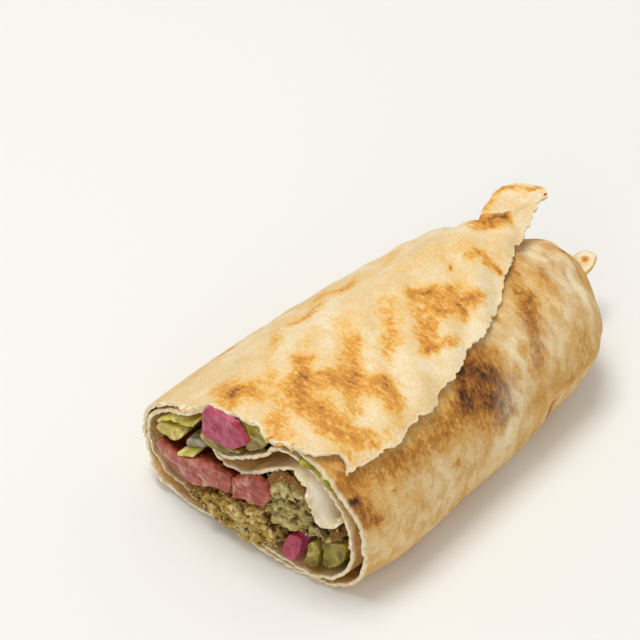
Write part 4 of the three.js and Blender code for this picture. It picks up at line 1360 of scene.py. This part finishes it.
def crumb_base():
    deselect()
    bpy.ops.mesh.primitive_ico_sphere_add(subdivisions=3, radius=1)
    base = bpy.context.object
    base.name = "base"
    co = fetch(base)
    co *= (1 + 0.3 * ripple(co, 0.9, 5) + 0.15 * ripple(co, 0.4, 6))[:, None]
    base.data.vertices.foreach_set("co", co.ravel())
    return base


class WRAP_OT_crumbs(bpy.types.Operator):
    """Strews crumbs over the cut and lays bread flakes along its edge"""

    bl_idname = "wrap.crumbs"
    bl_label = "Crumbs and flakes"

    def execute(self, context):
        chance = np.random.default_rng(11)
        base = crumb_base()
        spots = []
        for node, count in (("falafel_left", 110), ("falafel_right", 90)):
            points = read(bpy.data.objects[node + "_piece"])
            front = points[front_depth(points) < 0.5]
            tree = surface_of(front)
            for point in front[chance.integers(0, len(front), count)]:
                strewn, size = point + chance.normal(0, 0.25, 3), chance.uniform(0.2, 0.5)
                spots.append((settled(strewn, tree, 0.4 * size), size, 0.7))
        crumbs = scatter("crumbs", base, spots)
        crumbs.data.materials.append(crumb_material())
        finish_piece(crumbs, "falafel")

        tree = surface_of(read(bpy.data.objects["flatbread_roll"]))
        spots = []
        for s, y, off, size, flat, _ in FLAKES:
            spots.append((settled(on_roll(s, y, -off), tree, 0.35 * size), size, flat))
        flakes = scatter("flakes", base, spots)
        toast = np.repeat([row[5] for row in FLAKES], len(flakes.data.vertices) // len(FLAKES))
        plain_values(flakes)
        set_values(flakes, "pale", toast == 0)
        set_values(flakes, "toast", toast)
        flakes.data.materials.append(bread_material())
        finish_piece(flakes, "bread")
        activate(base)
        bpy.ops.object.delete()
        return {"FINISHED"}


def crumb_material():
    material, shade, shader = new_material("falafel crumbs", Roughness=0.7, IOR=1.4)
    fine = shade.noise(shade.place(), 0.5, detail=2.0)
    tones = [(0.0, "6b431a"), (0.4, "a07c38"), (0.8, "bfa052"), (1.0, "d6bc78")]
    colour = shade.ramp(shade.value("tone"), tones)
    colour = shade.mix(shade.step(fine, 0.6, 0.4), colour, shade.mix(0.4, colour, rgb("7a5a24")))
    shade.feed(shader, Base_Color=colour, Normal=shade.bump(fine, 0.5, 0.2))
    return material


class WRAP_PT_panel(bpy.types.Panel):
    """Lists the wrap's settings and the steps that build it"""

    bl_idname = "WRAP_PT_panel"
    bl_label = "Falafel wrap"
    bl_space_type = "VIEW_3D"
    bl_region_type = "UI"
    bl_category = "Falafel wrap"

    def draw(self, context):
        for name in ("wrap_stage", "wrap_bread", "wrap_filling"):
            settings = getattr(context.scene, name)
            box = self.layout.box()
            for field in settings.__annotations__:
                box.prop(settings, field)
        for operator in STEPS:
            self.layout.operator(operator.bl_idname)


GROUPS = {"wrap_stage": StageSettings, "wrap_bread": BreadSettings, "wrap_filling": FillingSettings}
STEPS = (
    WRAP_OT_stage,
    WRAP_OT_bread,
    WRAP_OT_folded_end,
    WRAP_OT_falafel,
    WRAP_OT_vegetables,
    WRAP_OT_lettuce,
    WRAP_OT_crumbs,
)


def register():
    for item in (*GROUPS.values(), *STEPS, WRAP_PT_panel):
        bpy.utils.register_class(item)
    for name, group in GROUPS.items():
        setattr(bpy.types.Scene, name, bpy.props.PointerProperty(type=group))


def unregister():
    for name in GROUPS:
        delattr(bpy.types.Scene, name)
    for item in (WRAP_PT_panel, *reversed(STEPS), *GROUPS.values()):
        bpy.utils.unregister_class(item)


def main():
    register()
    browning_group()
    specks_group()
    sauce_group()
    bpy.ops.wrap.stage()
    bpy.ops.wrap.bread()
    bpy.ops.wrap.folded_end()
    bpy.ops.wrap.falafel()
    bpy.ops.wrap.vegetables()
    bpy.ops.wrap.lettuce()
    bpy.ops.wrap.crumbs()


if __name__ == "__main__":
    main()
